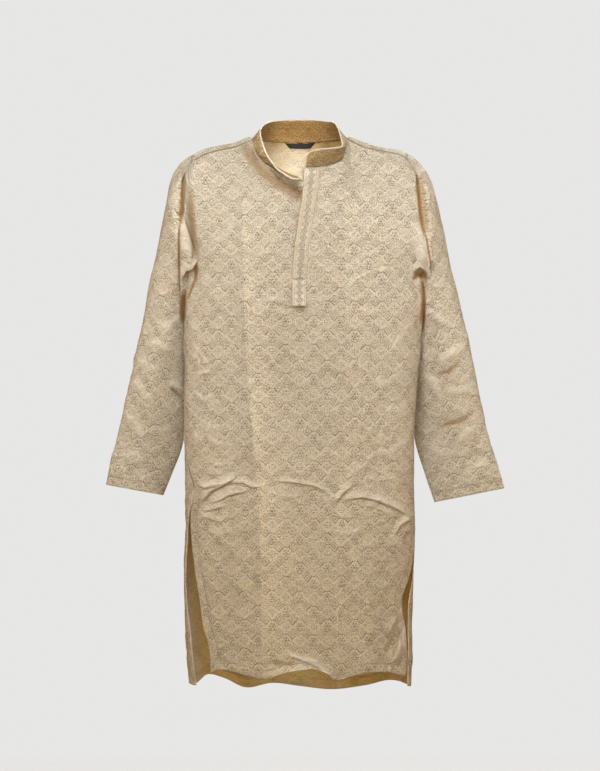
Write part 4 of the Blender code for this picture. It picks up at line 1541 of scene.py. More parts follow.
@dataclass(frozen=True)
class SatinFinish:
    """The label's black satin, bare of any word or mark."""

    name: str
    base: Colour = (0.010, 0.010, 0.011, 1.0)
    thread: Colour = (0.030, 0.030, 0.032, 1.0)
    relief: float = 0.00015

    def make(self, groups: Groups) -> bpy.types.Material:
        """The finish as a material, with a fine crosswise weave.

        Args:
            groups: the shared shader groups.

        Returns:
            The material.
        """
        made, g = start_material(self.name)
        place = g.stretch(g.layer("cloth"), (2.0, 3.0, 1.0))
        weave = g.group(groups[Pattern.WEAVE], {"Cloth": place})
        inputs = {
            "Base Color": g.mix(g.ramp(weave["Tone"], 0.35, 0.65), self.base, self.thread),
            "Roughness": g.ramp(weave["Tone"], 0.3, 0.7, 0.38, 0.55),
            "Normal": g.bump(weave["Relief"], self.relief, 0.6),
        }
        g.surface(inputs)
        return made


@dataclass(frozen=True)
class ThreadFinish:
    """Twisted sewing thread."""

    name: str
    base: Colour = (0.64, 0.55, 0.42, 1.0)
    shade: Colour = (0.50, 0.41, 0.28, 1.0)

    def make(self, groups: Groups) -> bpy.types.Material:
        """The finish as a material.

        Args:
            groups: the shared shader groups, which thread has no need of.

        Returns:
            The material.
        """
        made, g = start_material(self.name)
        tone = g.noise(g.read("ShaderNodeTexCoord", {}, "Object"), 900.0)
        colour = g.mix(g.ramp(tone, 0.35, 0.65), self.base, self.shade)
        g.surface({"Base Color": colour, "Roughness": g.ramp(tone, 0.3, 0.7, 0.6, 0.8)})
        return made


@dataclass(frozen=True)
class FloorFinish:
    """A pale floor that fades into the backdrop with distance and sends little light back up."""

    name: str = "studio_floor"
    colour: Colour = (0.74, 0.76, 0.80, 1.0)
    bounced: Colour = (0.20, 0.13, 0.07, 1.0)
    solid_radius: float = 0.5
    clear_radius: float = 2.4

    def make(self) -> bpy.types.Material:
        """The finish as a material.

        Returns:
            The material.
        """
        made, g = start_material(self.name)
        place = g.read("ShaderNodeTexCoord", {}, "Object")
        away = g.read("ShaderNodeVectorMath", {0: place}, "Value", operation="LENGTH")
        seen = g.read("ShaderNodeLightPath", {}, "Is Camera Ray")
        inputs = {
            "Base Color": g.mix(seen, self.bounced, self.colour),
            "Roughness": 0.9,
            "Alpha": g.ramp(away, self.solid_radius, self.clear_radius, 1.0, 0.0),
        }
        g.surface(inputs)
        return made


@dataclass
class Finishes:
    """Every material of the kurta."""

    face: bpy.types.Material
    inside: bpy.types.Material
    band_shaded: bpy.types.Material
    band_inside_shaded: bpy.types.Material
    placket: bpy.types.Material
    tab: bpy.types.Material
    thread: bpy.types.Material
    satin: bpy.types.Material

    @classmethod
    def make(cls) -> "Finishes":
        """Makes the shared groups and the materials that use them.

        Returns:
            The materials.
        """
        groups = {
            Pattern.LATTICE: embroidery_group(),
            Pattern.CHAIN: chain_group(),
            Pattern.WEAVE: weave_group(),
            Pattern.BORDER: border_group(),
        }
        # The wrong side: plainer and paler, and paler still at the foot. The paleness is partly painted light
        # for the shaded inside seen at the neck, the slits and the hem.
        inside = CottonFinish(
            "kurta_cotton_inside",
            base=(0.90, 0.82, 0.66, 1.0),
            foot=(1.00, 0.885, 0.71, 1.0),
            dark_share=0.45,
            light_share=0.40,
            slub=0.14,
            glow=0.72,
        )
        # The collar is the body's cloth; its darker, browner colour is painted shade for its outer face,
        # which leans forward and faces down.
        band_shaded = CottonFinish(
            "kurta_collar_painted_shade",
            base=(0.53, 0.372, 0.172, 1.0),
            light=(0.83, 0.68, 0.43, 1.0),
            dark=(0.13, 0.08, 0.03, 1.0),
            pitch=0.0205,
        )
        # The collar's inside, browner still: painted shade.
        band_inside_shaded = CottonFinish(
            "kurta_collar_inside_painted_shade",
            base=(0.50, 0.292, 0.098, 1.0),
            light=(0.78, 0.53, 0.25, 1.0),
            dark=(0.16, 0.07, 0.02, 1.0),
            pitch=0.0205,
            slub=0.06,
            relief=0.0012,
        )
        placket = CottonFinish(
            "kurta_cotton_placket",
            base=(0.712, 0.643, 0.526, 1.0),
            pattern=Pattern.CHAIN,
            pitch=0.0130,
            dark_share=0.85,
        )
        tab = CottonFinish(
            "kurta_cotton_tab", base=(0.83, 0.76, 0.66, 1.0), pattern=Pattern.CHAIN, pitch=0.0130
        )
        # The face turns warmer towards the hem: painted warm light.
        face = CottonFinish("kurta_cotton_face", foot=(0.740, 0.637, 0.470, 1.0))
        thread, satin = ThreadFinish("sewing_thread"), SatinFinish("label_satin_black")
        finishes = (face, inside, band_shaded, band_inside_shaded, placket, tab, thread, satin)
        return cls(*(finish.make(groups) for finish in finishes))


@dataclass
class Patch:
    """A grid of outer points and what their finish reads: a place on the flat cloth and distances from edges.

    The marks are painted shade for how deep a point lies in a fold and painted highlight for how near it lies
    to a crest or a free edge. The tone is painted light and shade beside the pressed lines, as a share of the
    brightness.
    """

    points: Grid
    cloth: Grid
    border: Grid
    marks: Grid | None = None
    tone: Grid | None = None

    def maps(self) -> dict[str, Grid]:
        """The maps that the finish reads.

        Returns:
            Two numbers a point for each map.
        """
        plain = np.zeros((*self.points.shape[:2], 2))
        fold = plain if self.marks is None else self.marks
        tone = plain if self.tone is None else np.stack([self.tone, self.tone], axis=-1)
        return {"cloth": self.cloth, "border": self.border, "fold": fold, "tone": tone}


def borders(grid: Grid, sewn: Sequence[Grid], free: Sequence[Grid]) -> Grid:
    """Distances from the nearest seam and the nearest free edge.

    Args:
        grid: the points.
        sewn: distances from each sewn edge.
        free: distances from each free edge.

    Returns:
        Two numbers a point, neither over the reach that matters.
    """
    far = np.full(grid.shape[:2], EDGE_REACH)
    nearest = [np.minimum.reduce([far, *away]) for away in (sewn, free)]
    return np.stack(nearest, axis=-1)


def link_object(name: str, data: bpy.types.ID) -> bpy.types.Object:
    """A new object in the scene.

    Args:
        name: its name.
        data: its mesh, light or camera.

    Returns:
        The object.
    """
    made = bpy.data.objects.new(name, data)
    bpy.context.scene.collection.objects.link(made)
    return made


def shell(name: str, patches: Sequence[Patch], wall: float, cloths: Cloths) -> bpy.types.Object:
    """A cloth wall through one or more patches, thickened inward.

    Args:
        name: the piece's name.
        patches: the patches, welded where they meet.
        wall: the cloth's thickness.
        cloths: the materials of its outside and its inside.

    Returns:
        The piece.
    """
    faces, start = [], 0
    for patch in patches:
        rows, columns = patch.points.shape[:2]
        index = np.arange(rows * columns).reshape(rows, columns) + start
        quads = (index[:-1, :-1], index[:-1, 1:], index[1:, 1:], index[1:, :-1])
        faces.append(np.stack(quads, axis=-1).reshape(-1, 4))
        start += rows * columns
    points = np.vstack([patch.points.reshape(-1, 3) for patch in patches])
    mesh = bpy.data.meshes.new(name)
    mesh.from_pydata(points.tolist(), [], np.vstack(faces).tolist())
    corner = np.empty(len(mesh.loops), dtype=np.int32)
    mesh.loops.foreach_get("vertex_index", corner)
    maps = [patch.maps() for patch in patches]
    for label in maps[0]:
        values = np.vstack([found[label].reshape(-1, 2) for found in maps])
        layer = mesh.uv_layers.new(name=label)
        layer.uv.foreach_set("vector", values[corner].astype(np.float32).ravel())
    if len(patches) > 1:
        work = bmesh.new()
        work.from_mesh(mesh)
        bmesh.ops.remove_doubles(work, verts=work.verts, dist=WELD)
        work.to_mesh(mesh)
        work.free()
    for cloth in cloths:
        mesh.materials.append(cloth)
    mesh.shade_smooth()
    piece = link_object(name, mesh)
    thicken = piece.modifiers.new("wall", "SOLIDIFY")
    thicken.thickness = wall
    thicken.offset = -1
    thicken.material_offset = 1
    return piece


@dataclass
class Stitching:
    """Rows of short raised stitches, gathered into one piece."""

    name: str
    pitch: float = 0.0034
    length: float = 0.0025
    width: float = 0.00055
    height: float = 0.00030
    sink: float = 0.0001
    shoulders: tuple[float, float] = (0.22, 0.78)
    points: list[Grid] = field(default_factory=list)

    def follow(self, grid: Grid, edge: Edge, inset: float, start: float = 0.0, end: float = 1.0) -> None:
        """Adds a row of stitches at a steady distance from an edge of a cloth grid.

        Args:
            grid: the cloth's outer points.
            edge: the edge.
            inset: the row's distance from it.
            start: where the row starts along the edge, as a share of it.
            end: where it ends.
        """
        spots = inset_path(grid, edge, inset, start, end)
        path = sample(grid, *spots)
        run = distances(path)
        middle = (np.arange(int(run[-1] / self.pitch)) + 0.5) * self.pitch
        read = lambda values, at: np.column_stack([np.interp(at, run, axis) for axis in values.T])
        first, last = read(path, middle - self.length / 2), read(path, middle + self.length / 2)
        lift = unit(read(sample(normals(grid), *spots), middle))
        side = unit(np.cross(lift, last - first)) * self.width / 2
        rise, sink = lift * self.height, lift * self.sink
        corners = [first - sink]
        for share in self.shoulders:
            centre = first + (last - first) * share
            corners += [centre - side, centre + rise, centre + side, centre - rise]
        corners.append(last - sink)
        self.points.append(np.stack(corners, axis=1))

    def make(self, thread: bpy.types.Material) -> bpy.types.Object:
        """The stitches as one piece.

        Args:
            thread: their material.

        Returns:
            The piece.
        """
        points = np.vstack(self.points)
        around = [(k, (k + 1) % 4) for k in range(4)]
        shape = [(1 + k, 1 + after, 5 + after, 5 + k) for k, after in around]
        shape += [(0, 1 + after, 1 + k) for k, after in around]
        shape += [(9, 5 + k, 5 + after) for k, after in around]
        starts = range(0, points.shape[0] * points.shape[1], points.shape[1])
        faces = [[start + corner for corner in face] for start in starts for face in shape]
        mesh = bpy.data.meshes.new(self.name)
        mesh.from_pydata(points.reshape(-1, 3).tolist(), [], faces)
        mesh.materials.append(thread)
        mesh.shade_smooth()
        return link_object(self.name, mesh)


def settle(piece: bpy.types.Object, slot: str, node: str | None = None) -> bpy.types.Object:
    """Puts a piece on the body.

    Args:
        piece: the piece.
        slot: its finish's slot, which is not used.
        node: the solid that it stands for, if any.

    Returns:
        The piece.
    """
    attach(piece, "root")
    if node:
        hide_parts(node)
    return piece


@dataclass(frozen=True)
class Cut:
    """A piece of cloth as it is cut: what it stands for, its flat size and area, and what holds it."""

    name: str
    node: str
    flat: tuple[float, float]
    area: float
    held: str
    rests_on: tuple[str, ...]
    wall: float = CLOTH_WALL
    slot: str = "kurta_cotton"
    rim: float = 0.0

    def make(
        self,
        patches: Sequence[Patch],
        cloths: Cloths,
        sewn: Stitching | None = None,
        thread: bpy.types.Material | None = None,
    ) -> None:
        """Args:
            patches: its shape.
            cloths: the materials of its outside and its inside.
            sewn: its stitches, if any.
            thread: their material.
        """
        piece = settle(shell(f"{self.name}_cloth", patches, self.wall, cloths), self.slot, self.node)
        if self.rim:
            rounded = piece.modifiers.new("rim", "BEVEL")
            rounded.width = self.rim
            rounded.segments = 2
            rounded.limit_method = "ANGLE"
        list(self.rests_on)
        [settle(sewn.make(thread), self.slot)] if sewn else []
        LOG.info("%s stands for %s", piece.name, self.node)


def curl_hem(half: Grid) -> Grid:
    """A front half with the middle of its hem flipped outward.

    Args:
        half: the half.

    Returns:
        The curled half.
    """
    across = half[..., 0]
    share = soft_step((across - CURL_START) / CURL_RISE) * soft_step((CURL_END - across) / CURL_FALL)
    turn = np.clip(1 - edge_distance(half, Edge.FOOT) / CURL_DEPTH, 0, 1) ** 1.6 * share
    curled = half.copy()
    curled[..., 1] -= CURL_OUT * turn
    curled[..., 2] += CURL_UP * turn**1.5 * soft_step(across / CURL_UP_FROM)
    return curled


@dataclass
class Panel:
    """A body panel: two halves that share a centre line."""

    cut: Cut
    creases: Sequence[Crease]
    rumple: Rumple
    over: tuple[float, float, float]
    slit_stitched: float
    shoulder_stitch: float = 0.0
    hem_stitch: float = 0.019
    slit_stitch: float = 0.003
    facing_stitch: float = 0.021
    armhole_stitch: float = 0.006
    row_start: float = 0.02
    armhole_end: float = 0.99
    shoulder_end: float = 0.97
    neck_slit: bool = False

    def halves(self) -> tuple[Grid, Grid]:
        """Its smooth halves, the first with its side in the first column and the second in the last."""
        raise NotImplementedError

    def lay_flat(self, half: Grid, base: int) -> Grid:
        """A half's places on the flat cloth.

        Args:
            half: the half.
            base: its column on the centre line.

        Returns:
            Two numbers a point.
        """
        cloth = grain(half, base, SKIRT_ROWS, CHEST_LEVEL, UP, np.array(self.over))
        cloth[..., 0] += half[:, base : base + 1, 0] + NECK_SLIT_OFFSET
        return cloth

    def shape(self) -> list[Patch]:
        """The creased halves.

        Returns:
            The two halves.
        """
        smooth = self.halves()
        flats = [self.lay_flat(smooth[0], HALF_COLUMNS), self.lay_flat(smooth[1], 0)]
        folded = [fold_armholes(half) for half in smooth]
        halves = [curl_hem(half) if self.neck_slit else half for half, _ in folded]
        whole = normals(np.hstack([halves[0], halves[1][:, 1:]]))
        outs = [whole[:, : HALF_COLUMNS + 1], whole[:, HALF_COLUMNS:]]
        if self.neck_slit:
            part = soft_step((np.arange(len(whole)) - SKIRT_ROWS) / SLIT_BLEND_ROWS)[:, None, None]
            outs = [out * (1 - part) + normals(half) * part for out, half in zip(outs, halves)]
        marks = [found for _, found in folded]
        return [self.finish(*half) for half in zip(halves, outs, (Edge.FIRST, Edge.LAST), flats, marks)]

    def calm(self, half: Grid, from_side: Grid, from_head: Grid) -> Grid:
        """How freely the cloth creases at each point, since seams and facings hold it.

        Args:
            half: the half.
            from_side: distances from its side.
            from_head: distances from its head.

        Returns:
            Shares from 0 to 1.
        """
        at_slit = OPEN_CALM + (1 - OPEN_CALM) * soft_step(from_side / OPEN_CALM_REACH)
        share = np.where(half[..., 2] > SLIT_TOP, soft_step(from_side / SIDE_CALM_REACH), at_slit)
        share *= soft_step(from_head / HEAD_CALM_REACH)
        if self.neck_slit:
            off = np.abs(half[..., 0] - FACING_CENTRE) - FACING_HALF
            beside_slit = soft_step(off / FACING_FADE)
            under = FACING_FOOT - half[..., 2]
            below = soft_step(beside_slit + under / FACING_FOOT_FADE)
            share *= np.where(under < 0, beside_slit, below)
        return share

    def finish(self, half: Grid, out: Grid, side: Edge, cloth: Grid, marks: Grid) -> Patch:
        """Creases one half.

        Args:
            half: the half.
            out: its outward directions.
            side: the edge that is its side.
            cloth: its places on the flat cloth.
            marks: the painted shade and highlight that the armhole folds left.

        Returns:
            The creased half.
        """
        height, found = press(half, self.creases)
        marks = np.maximum(marks, found * SHALLOW)
        height += self.rumple.heights(cloth)
        edges = (side, Edge.HEAD, Edge.FOOT)
        from_side, from_head, from_foot = (edge_distance(half, edge) for edge in edges)
        level = half[..., 2]
        sewn = level > SLIT_TOP
        height *= self.calm(half, from_side, from_head)
        height -= SEAM_DITCH * (np.exp(-from_head / SEAM_WIDTH) + np.exp(-from_side / SEAM_WIDTH) * sewn)
        points = half + out * height[..., None]
        shoulder = HALF_COLUMNS - NECK_COLUMNS + 1
        edge, inner, seam = 0, 1, slice(0, shoulder)
        if side is Edge.LAST:
            edge, inner, seam = -1, -2, slice(-shoulder, None)
        points[:, edge] += unit(points[:, inner] - points[:, edge]) * SEAM_GAP
        points[-1, seam] += unit(points[-2, seam] - points[-1, seam]) * SEAM_GAP
        shown = np.where(level < ARMHOLE_SEAM_SHOWN, soft_step((CHEST_LEVEL - level) / SEAM_FADE), 1)
        seam_side = np.where(sewn, from_side + EDGE_REACH * (1 - shown), EDGE_REACH)
        open_side = np.where(sewn, EDGE_REACH, from_side)
        border = borders(half, (seam_side, from_head), (open_side, from_foot))
        # Painted highlight along the open slit edges and the hem.
        edge_highlight = EDGE_HIGHLIGHT * bell(np.minimum(open_side, from_foot) / EDGE_HIGHLIGHT_REACH)
        marks[..., 1] = np.maximum(marks[..., 1], edge_highlight)
        return Patch(points, cloth, border, marks, painted_press_light(half, cloth))

    def sew(self, sewn: Stitching, grid: Grid, side: Edge) -> None:
        """Stitches a half's hem, slit, armhole and shoulder.

        Args:
            sewn: where the stitches are gathered.
            grid: the half.
            side: the edge that is its side.
        """
        chest = SKIRT_ROWS / (SKIRT_ROWS + YOKE_ROWS)
        sewn.follow(grid, Edge.FOOT, self.hem_stitch)
        for inset in (self.slit_stitch, self.facing_stitch):
            sewn.follow(grid, side, inset, self.row_start, self.slit_stitched * chest)
        sewn.follow(grid, side, self.armhole_stitch, chest + self.row_start, self.armhole_end)
        if self.shoulder_stitch:
            neck = (HALF_COLUMNS - NECK_COLUMNS) / HALF_COLUMNS
            ends = (1 - neck, self.shoulder_end)
            if side is Edge.FIRST:
                ends = (1 - self.shoulder_end, neck)
            sewn.follow(grid, Edge.HEAD, self.shoulder_stitch, *ends)

    def build(self, finishes: Finishes) -> list[Patch]:
        """Args:
            finishes: the materials.

        Returns:
            Its two halves.
        """
        patches = self.shape()
        sewn = Stitching(f"{self.cut.name}_stitches")
        for patch, side in zip(patches, (Edge.FIRST, Edge.LAST)):
            self.sew(sewn, patch.points, side)
        self.cut.make(patches, (finishes.face, finishes.inside), sewn, finishes.thread)
        return patches


@dataclass
class FrontPanel(Panel):
    """The front: one panel with the neck slit, side slits and a curled hem."""

    cut: Cut = Cut("front", "front", (0.52, 1.06), 0.473, "hung", ("back_cloth", "collar_cloth"))
    creases: Sequence[Crease] = FRONT_CREASES
    rumple: Rumple = Rumple(crumples=0.0026, seed=11)
    over: tuple[float, float, float] = (0.0, 1.0, 0.0)
    slit_stitched: float = 0.51
    shoulder_stitch: float = 0.004
    neck_slit: bool = True

    def halves(self) -> tuple[Grid, Grid]:
        """Its smooth halves, parted at the neck slit.

        Returns:
            The left half and the right half.
        """
        seams = Seams(ARMHOLE_FRONT_LEFT, SHOULDER_LEFT, NECK_FRONT_LEFT)
        left = half_panel(Side.FRONT_LEFT, centre_front, FRONT_HEM, seams, FRONT_AIMS)
        seams = Seams(ARMHOLE_FRONT_RIGHT, SHOULDER_RIGHT, NECK_FRONT_RIGHT)
        right = half_panel(Side.FRONT_RIGHT, centre_front, FRONT_HEM, seams, FRONT_AIMS)[:, ::-1]
        slit_rows = slice(SKIRT_ROWS + 1, None)
        left[slit_rows, :, 1] += SLIT_SET_BACK * np.linspace(0, 1, HALF_COLUMNS + 1) ** SLIT_FADE
        left[slit_rows, -1, 0] -= SLIT_HALF_GAP
        right[slit_rows, 0, 0] += SLIT_HALF_GAP
        return left, right


@dataclass
class BackPanel(Panel):
    """The back: one panel that runs over the shoulders, a little longer than the front."""

    cut: Cut = Cut("back", "back", (0.60, 1.12), 0.570, "hung", ("collar_cloth",))
    creases: Sequence[Crease] = BACK_CREASES
    rumple: Rumple = Rumple(seed=31)
    over: tuple[float, float, float] = (0.0, -1.0, 0.0)
    slit_stitched: float = 0.5

    def halves(self) -> tuple[Grid, Grid]:
        """Its smooth halves, as seen from behind.

        Returns:
            The wearer's left half and the other.
        """
        seams = Seams(ARMHOLE_BACK_RIGHT, SHOULDER_RIGHT, NECK_BACK_RIGHT)
        right = half_panel(Side.BACK_RIGHT, lambda level: 180, BACK_HEM, seams, BACK_AIMS)
        seams = Seams(ARMHOLE_BACK_LEFT, SHOULDER_LEFT, NECK_BACK_LEFT)
        left = half_panel(Side.BACK_LEFT, lambda level: -180, BACK_HEM, seams, BACK_AIMS)[:, ::-1]
        return right, left


@dataclass
class Sleeve:
    """A one-piece sleeve, closed by its underarm seam."""

    node: str
    side: int
    stations: Sequence[Station]
    front: Sequence[Point]
    back: Sequence[Point]
    creases: Sequence[Crease]
    rumple: Rumple
    bunch: float = 0.014
    nestle: float = 0.004
    cuff_stitches: tuple[float, float] = (0.0080, 0.0105)

    def arm(self, turn: Grid, inward: Grid) -> Grid:
        """The sleeve below its cap.

        Args:
            turn: the angles round it.
            inward: how near each one lies to the inner edge.

        Returns:
            A grid of points, rows from the cap down.
        """
        swing = np.sign(np.sin(turn)) * np.abs(np.sin(turn)) ** SLEEVE_SQUARE
        table = [(i, *ring.outer, *ring.inner, ring.depth) for i, ring in enumerate(self.stations)]
        rows = []
        for at in np.linspace(0, len(self.stations) - 1, ARM_ROWS + 1):
            values = along(table, at)
            outer, inner, depth = values[:3], values[3:6], values[6]
            row = outer + (inner - outer) * inward[:, None]
            row[:, 1] -= (depth + along(SLEEVE_PUFF, at)[0] * (swing > 0)) * swing
            rows.append(row)
        return np.array(rows)

    def cap(self, arm: Grid, inward: Grid) -> Grid:
        """The sleeve between the armhole and its arm.

        Args:
            arm: the sleeve below it.
            inward: how near each column lies to the inner edge.

        Returns:
            A grid of points, rows from the armhole down.
        """
        low = inward[:, None]
        leaves = (SLEEVE_LEAVES_TOP, SLEEVE_LEAVES_UNDERARM)
        top, underarm = (np.array((self.side * across, 0.0, up)) for across, up in leaves)
        leave = (1 - low) * top + low * underarm
        rising, falling = curve(self.front, YOKE_ROWS + 1), curve(self.back, YOKE_ROWS + 1)[::-1]
        start = np.vstack([rising, falling[1:]]) - leave * SLEEVE_TUCK
        reach = np.linalg.norm(arm[0] - start, axis=1)[:, None]
        v = np.linspace(0, 1, CAP_ROWS + 1)[:, None, None]
        return hermite(start, arm[0], reach * leave, reach * unit(arm[1] - arm[0]), v)

    def tuck(self, grid: Grid, turn: Grid, inward: Grid) -> None:
        """Bunches the underarm and nestles the sleeve's front corner against the body.

        Args:
            grid: the sleeve, which is changed.
            turn: the angles round it.
            inward: how near each one lies to the inner edge.
        """
        bunched = bell((grid[..., 2] - UNDERARM_BUNCH) / UNDERARM_BUNCH_REACH) * inward**3
        bunched *= soft_step(edge_distance(grid, Edge.FOOT) / UNDERARM_BUNCH_RISE)
        grid[..., 0] -= self.side * self.bunch * bunched
        corner = bell((turn - NESTLE_TURN) / NESTLE_SPAN)
        corner = corner * soft_step((grid[..., 2] - NESTLE_FOOT) / NESTLE_FOOT_FADE)
        corner = corner * soft_step((NESTLE_TOP - grid[..., 2]) / NESTLE_TOP_FADE)
        grid[..., 0] -= self.side * self.nestle * corner

    def lay_flat(self, grid: Grid, base: int, axis: Grid) -> Grid:
        """The sleeve's places on the flat cloth, which are as seen from the front where it faces there.

        Args:
            grid: the sleeve.
            base: the column in the middle of its front.
            axis: its direction, upward.

        Returns:
            Two numbers a point.
        """
        cloth = grain(grid, base, len(grid) - 1, 0.0, axis, np.zeros(3))
        seen = np.stack([grid @ np.cross(axis, (0.0, -1.0, 0.0)), grid @ axis], axis=-1)
        seen[..., 0] -= seen[:, base : base + 1, 0]
        seen[..., 1] -= seen[-1:, :, 1]
        facing = soft_step((-normals(grid)[..., 1] - FACING_FROM) / FACING_SPAN)
        facing *= soft_step(CAP_TURN_END - edge_distance(grid, Edge.FOOT) / CAP_TURN)
        return cloth + (seen - cloth) * facing[..., None]

    def shape(self) -> Patch:
        """The sleeve from its armhole to its cuff, creased.

        Returns:
            The sleeve.
        """
        turn = np.linspace(0, 2 * np.pi, SLEEVE_COLUMNS + 1)
        inward = (np.cos(turn) + 1) / 2
        arm = self.arm(turn, inward)
        grid = np.vstack([self.cap(arm, inward)[:-1], arm])
        self.tuck(grid, turn, inward)
        base = SLEEVE_COLUMNS // 4
        if self.side > 0:
            grid, base = grid[:, ::-1], SLEEVE_COLUMNS - base
        cloth = self.lay_flat(grid, base, unit(arm[0].mean(axis=0) - arm[-1].mean(axis=0)))
        grid, marks = fold_armholes(grid)
        out = normals(grid)
        out[:, 0] = out[:, -1] = (out[:, 0] + out[:, -1]) / 2
        height, found = press_tube(grid, out, self.creases)
        marks = np.maximum(marks, found * SHALLOW)
        sides = [edge_distance(grid, edge) for edge in (Edge.FIRST, Edge.LAST)]
        from_seam, from_cuff = edge_distance(grid, Edge.FOOT), edge_distance(grid, Edge.HEAD)
        closing = soft_step(sides[0] / UNDERARM_CALM) * soft_step(sides[1] / UNDERARM_CALM)
        height += self.rumple.heights(cloth) * closing
        height *= soft_step(from_seam / CAP_CALM_REACH)
        height *= CUFF_CALM + (1 - CUFF_CALM) * soft_step(from_cuff / CUFF_CALM_REACH)
        height -= SEAM_DITCH * np.exp(-from_seam / SEAM_WIDTH)
        hidden = EDGE_REACH * soft_step((ARMHOLE_SEAM_SHOWN - grid[..., 2]) / SEAM_FADE)
        border = borders(grid, (from_seam + hidden, *sides), (from_cuff,))
        # Painted highlight along the cuff's edge.
        marks[..., 1] = np.maximum(marks[..., 1], EDGE_HIGHLIGHT * bell(from_cuff / EDGE_HIGHLIGHT_REACH))
        return Patch(grid + out * height[..., None], cloth, border, marks)

    def build(self, finishes: Finishes) -> None:
        """Args:
            finishes: the materials.
        """
        patch = self.shape()
        sewn = Stitching(f"{self.node}_stitches")
        for inset in self.cuff_stitches:
            sewn.follow(patch.points, Edge.HEAD, inset)
        cut = Cut(self.node, self.node, (0.34, 0.62), 0.157, "hung", ("front_cloth", "back_cloth"))
        cut.make((patch,), (finishes.face, finishes.inside), sewn, finishes.thread)


@dataclass
class Collar:
    """The stand band: its left half has fallen open, its right end is rounded."""

    cut: Cut = Cut(
        "collar",
        "collar",
        (0.46, 0.042),
        0.0180,
        "stretched",
        ("front_cloth", "back_cloth"),
        wall=BAND_WALL,
        rim=0.0007,
    )
    corner: float = 0.012
    left_corner: float = 0.006
    left_taper: float = 0.030
    right_taper: float = 0.012
    belly: float = 0.0010
    waves: tuple[tuple[float, float, int], ...] = ((0.0007, 0.028, 51), (0.0004, 0.012, 52))
    stitches: tuple[tuple[Edge, float], ...] = ((Edge.FOOT, 0.0030), (Edge.HEAD, 0.0032))

    def lines(self) -> tuple[Grid, Grid]:
        """The band's seam and rim, from its fallen left end round to its right end.

        Returns:
            The two rows of points.
        """
        runs = (NECK_FRONT_LEFT[::-1], NECK_BACK_LEFT, NECK_BACK_RIGHT[::-1], NECK_FRONT_RIGHT)
        knots = np.vstack([runs[0]] + [run[1:] for run in runs[1:]])
        columns = [curve(run, NECK_COLUMNS + 1) for run in runs]
        seam = np.vstack([columns[0]] + [run[1:] for run in columns[1:]])
        rim = along(np.column_stack([lengths(knots), COLLAR_RIM]), lengths(seam))
        rim[:, 1] -= COLLAR_LEAN * soft_step((rim[:, 1] + COLLAR_LEAN_FROM) / COLLAR_LEAN_SPAN)
        return seam, rim

    def round_off(self, away: Grid, radius: float) -> Grid:
        """How far a corner of a radius cuts the band down, at distances from the band's end."""
        near = np.clip(1 - away / radius, 0, 1)
        return radius * (1 - np.sqrt(np.clip(1 - near**2, 0, 1)))

    def shape(self) -> Patch:
        """The band from its right end round the back to its left end.

        Returns:
            The band.
        """
        seam, rim = self.lines()
        run = distances(seam)
        from_end = run[-1] - run
        back_off = BAND_SHORT_LEFT * np.clip(1 - run / self.left_taper, 0, 1)
        seam = seam + unit(np.gradient(seam, axis=0)) * back_off[:, None]
        seam[:, 0] += (STRIP_COVER - BAND_SHORT_RIGHT) * np.clip(1 - from_end / self.right_taper, 0, 1)
        tall = rim - seam
        drop = self.round_off(from_end, self.corner) + self.round_off(run, self.left_corner)
        share = 1 - drop / np.linalg.norm(tall, axis=1)
        v = np.linspace(0, 1, BAND_ROWS + 1)[:, None, None]
        grid = (seam + tall * share[:, None] * v)[:, ::-1]
        grid[0] -= normals(grid)[0] * COLLAR_TUCK_IN + (grid[1] - grid[0]) * COLLAR_TUCK_DOWN
        cloth = grain(grid, grid.shape[1] // 2, 0, 0.0, UP, np.zeros(3))
        height = sum(deep * value_noise(cloth / size, seed) for deep, size, seed in self.waves)
        height = height + self.belly * np.sin(np.pi * v[..., 0])
        free = [edge_distance(grid, edge) for edge in (Edge.HEAD, Edge.FIRST, Edge.LAST)]
        border = borders(grid, (edge_distance(grid, Edge.FOOT),), free)
        # Painted highlight along the rim and the band's ends.
        edge_highlight = bell(np.minimum.reduce(free) / EDGE_HIGHLIGHT_REACH)
        marks = np.stack([np.zeros_like(edge_highlight), edge_highlight], axis=-1)
        return Patch(grid + normals(grid) * height[..., None], cloth, border, marks)

    def build(self, finishes: Finishes) -> None:
        """Args:
            finishes: the materials.
        """
        patch = self.shape()
        sewn = Stitching("collar_stitches")
        for edge, inset in self.stitches:
            sewn.follow(patch.points, edge, inset)
        self.cut.make((patch,), (finishes.band_shaded, finishes.band_inside_shaded), sewn, finishes.thread)


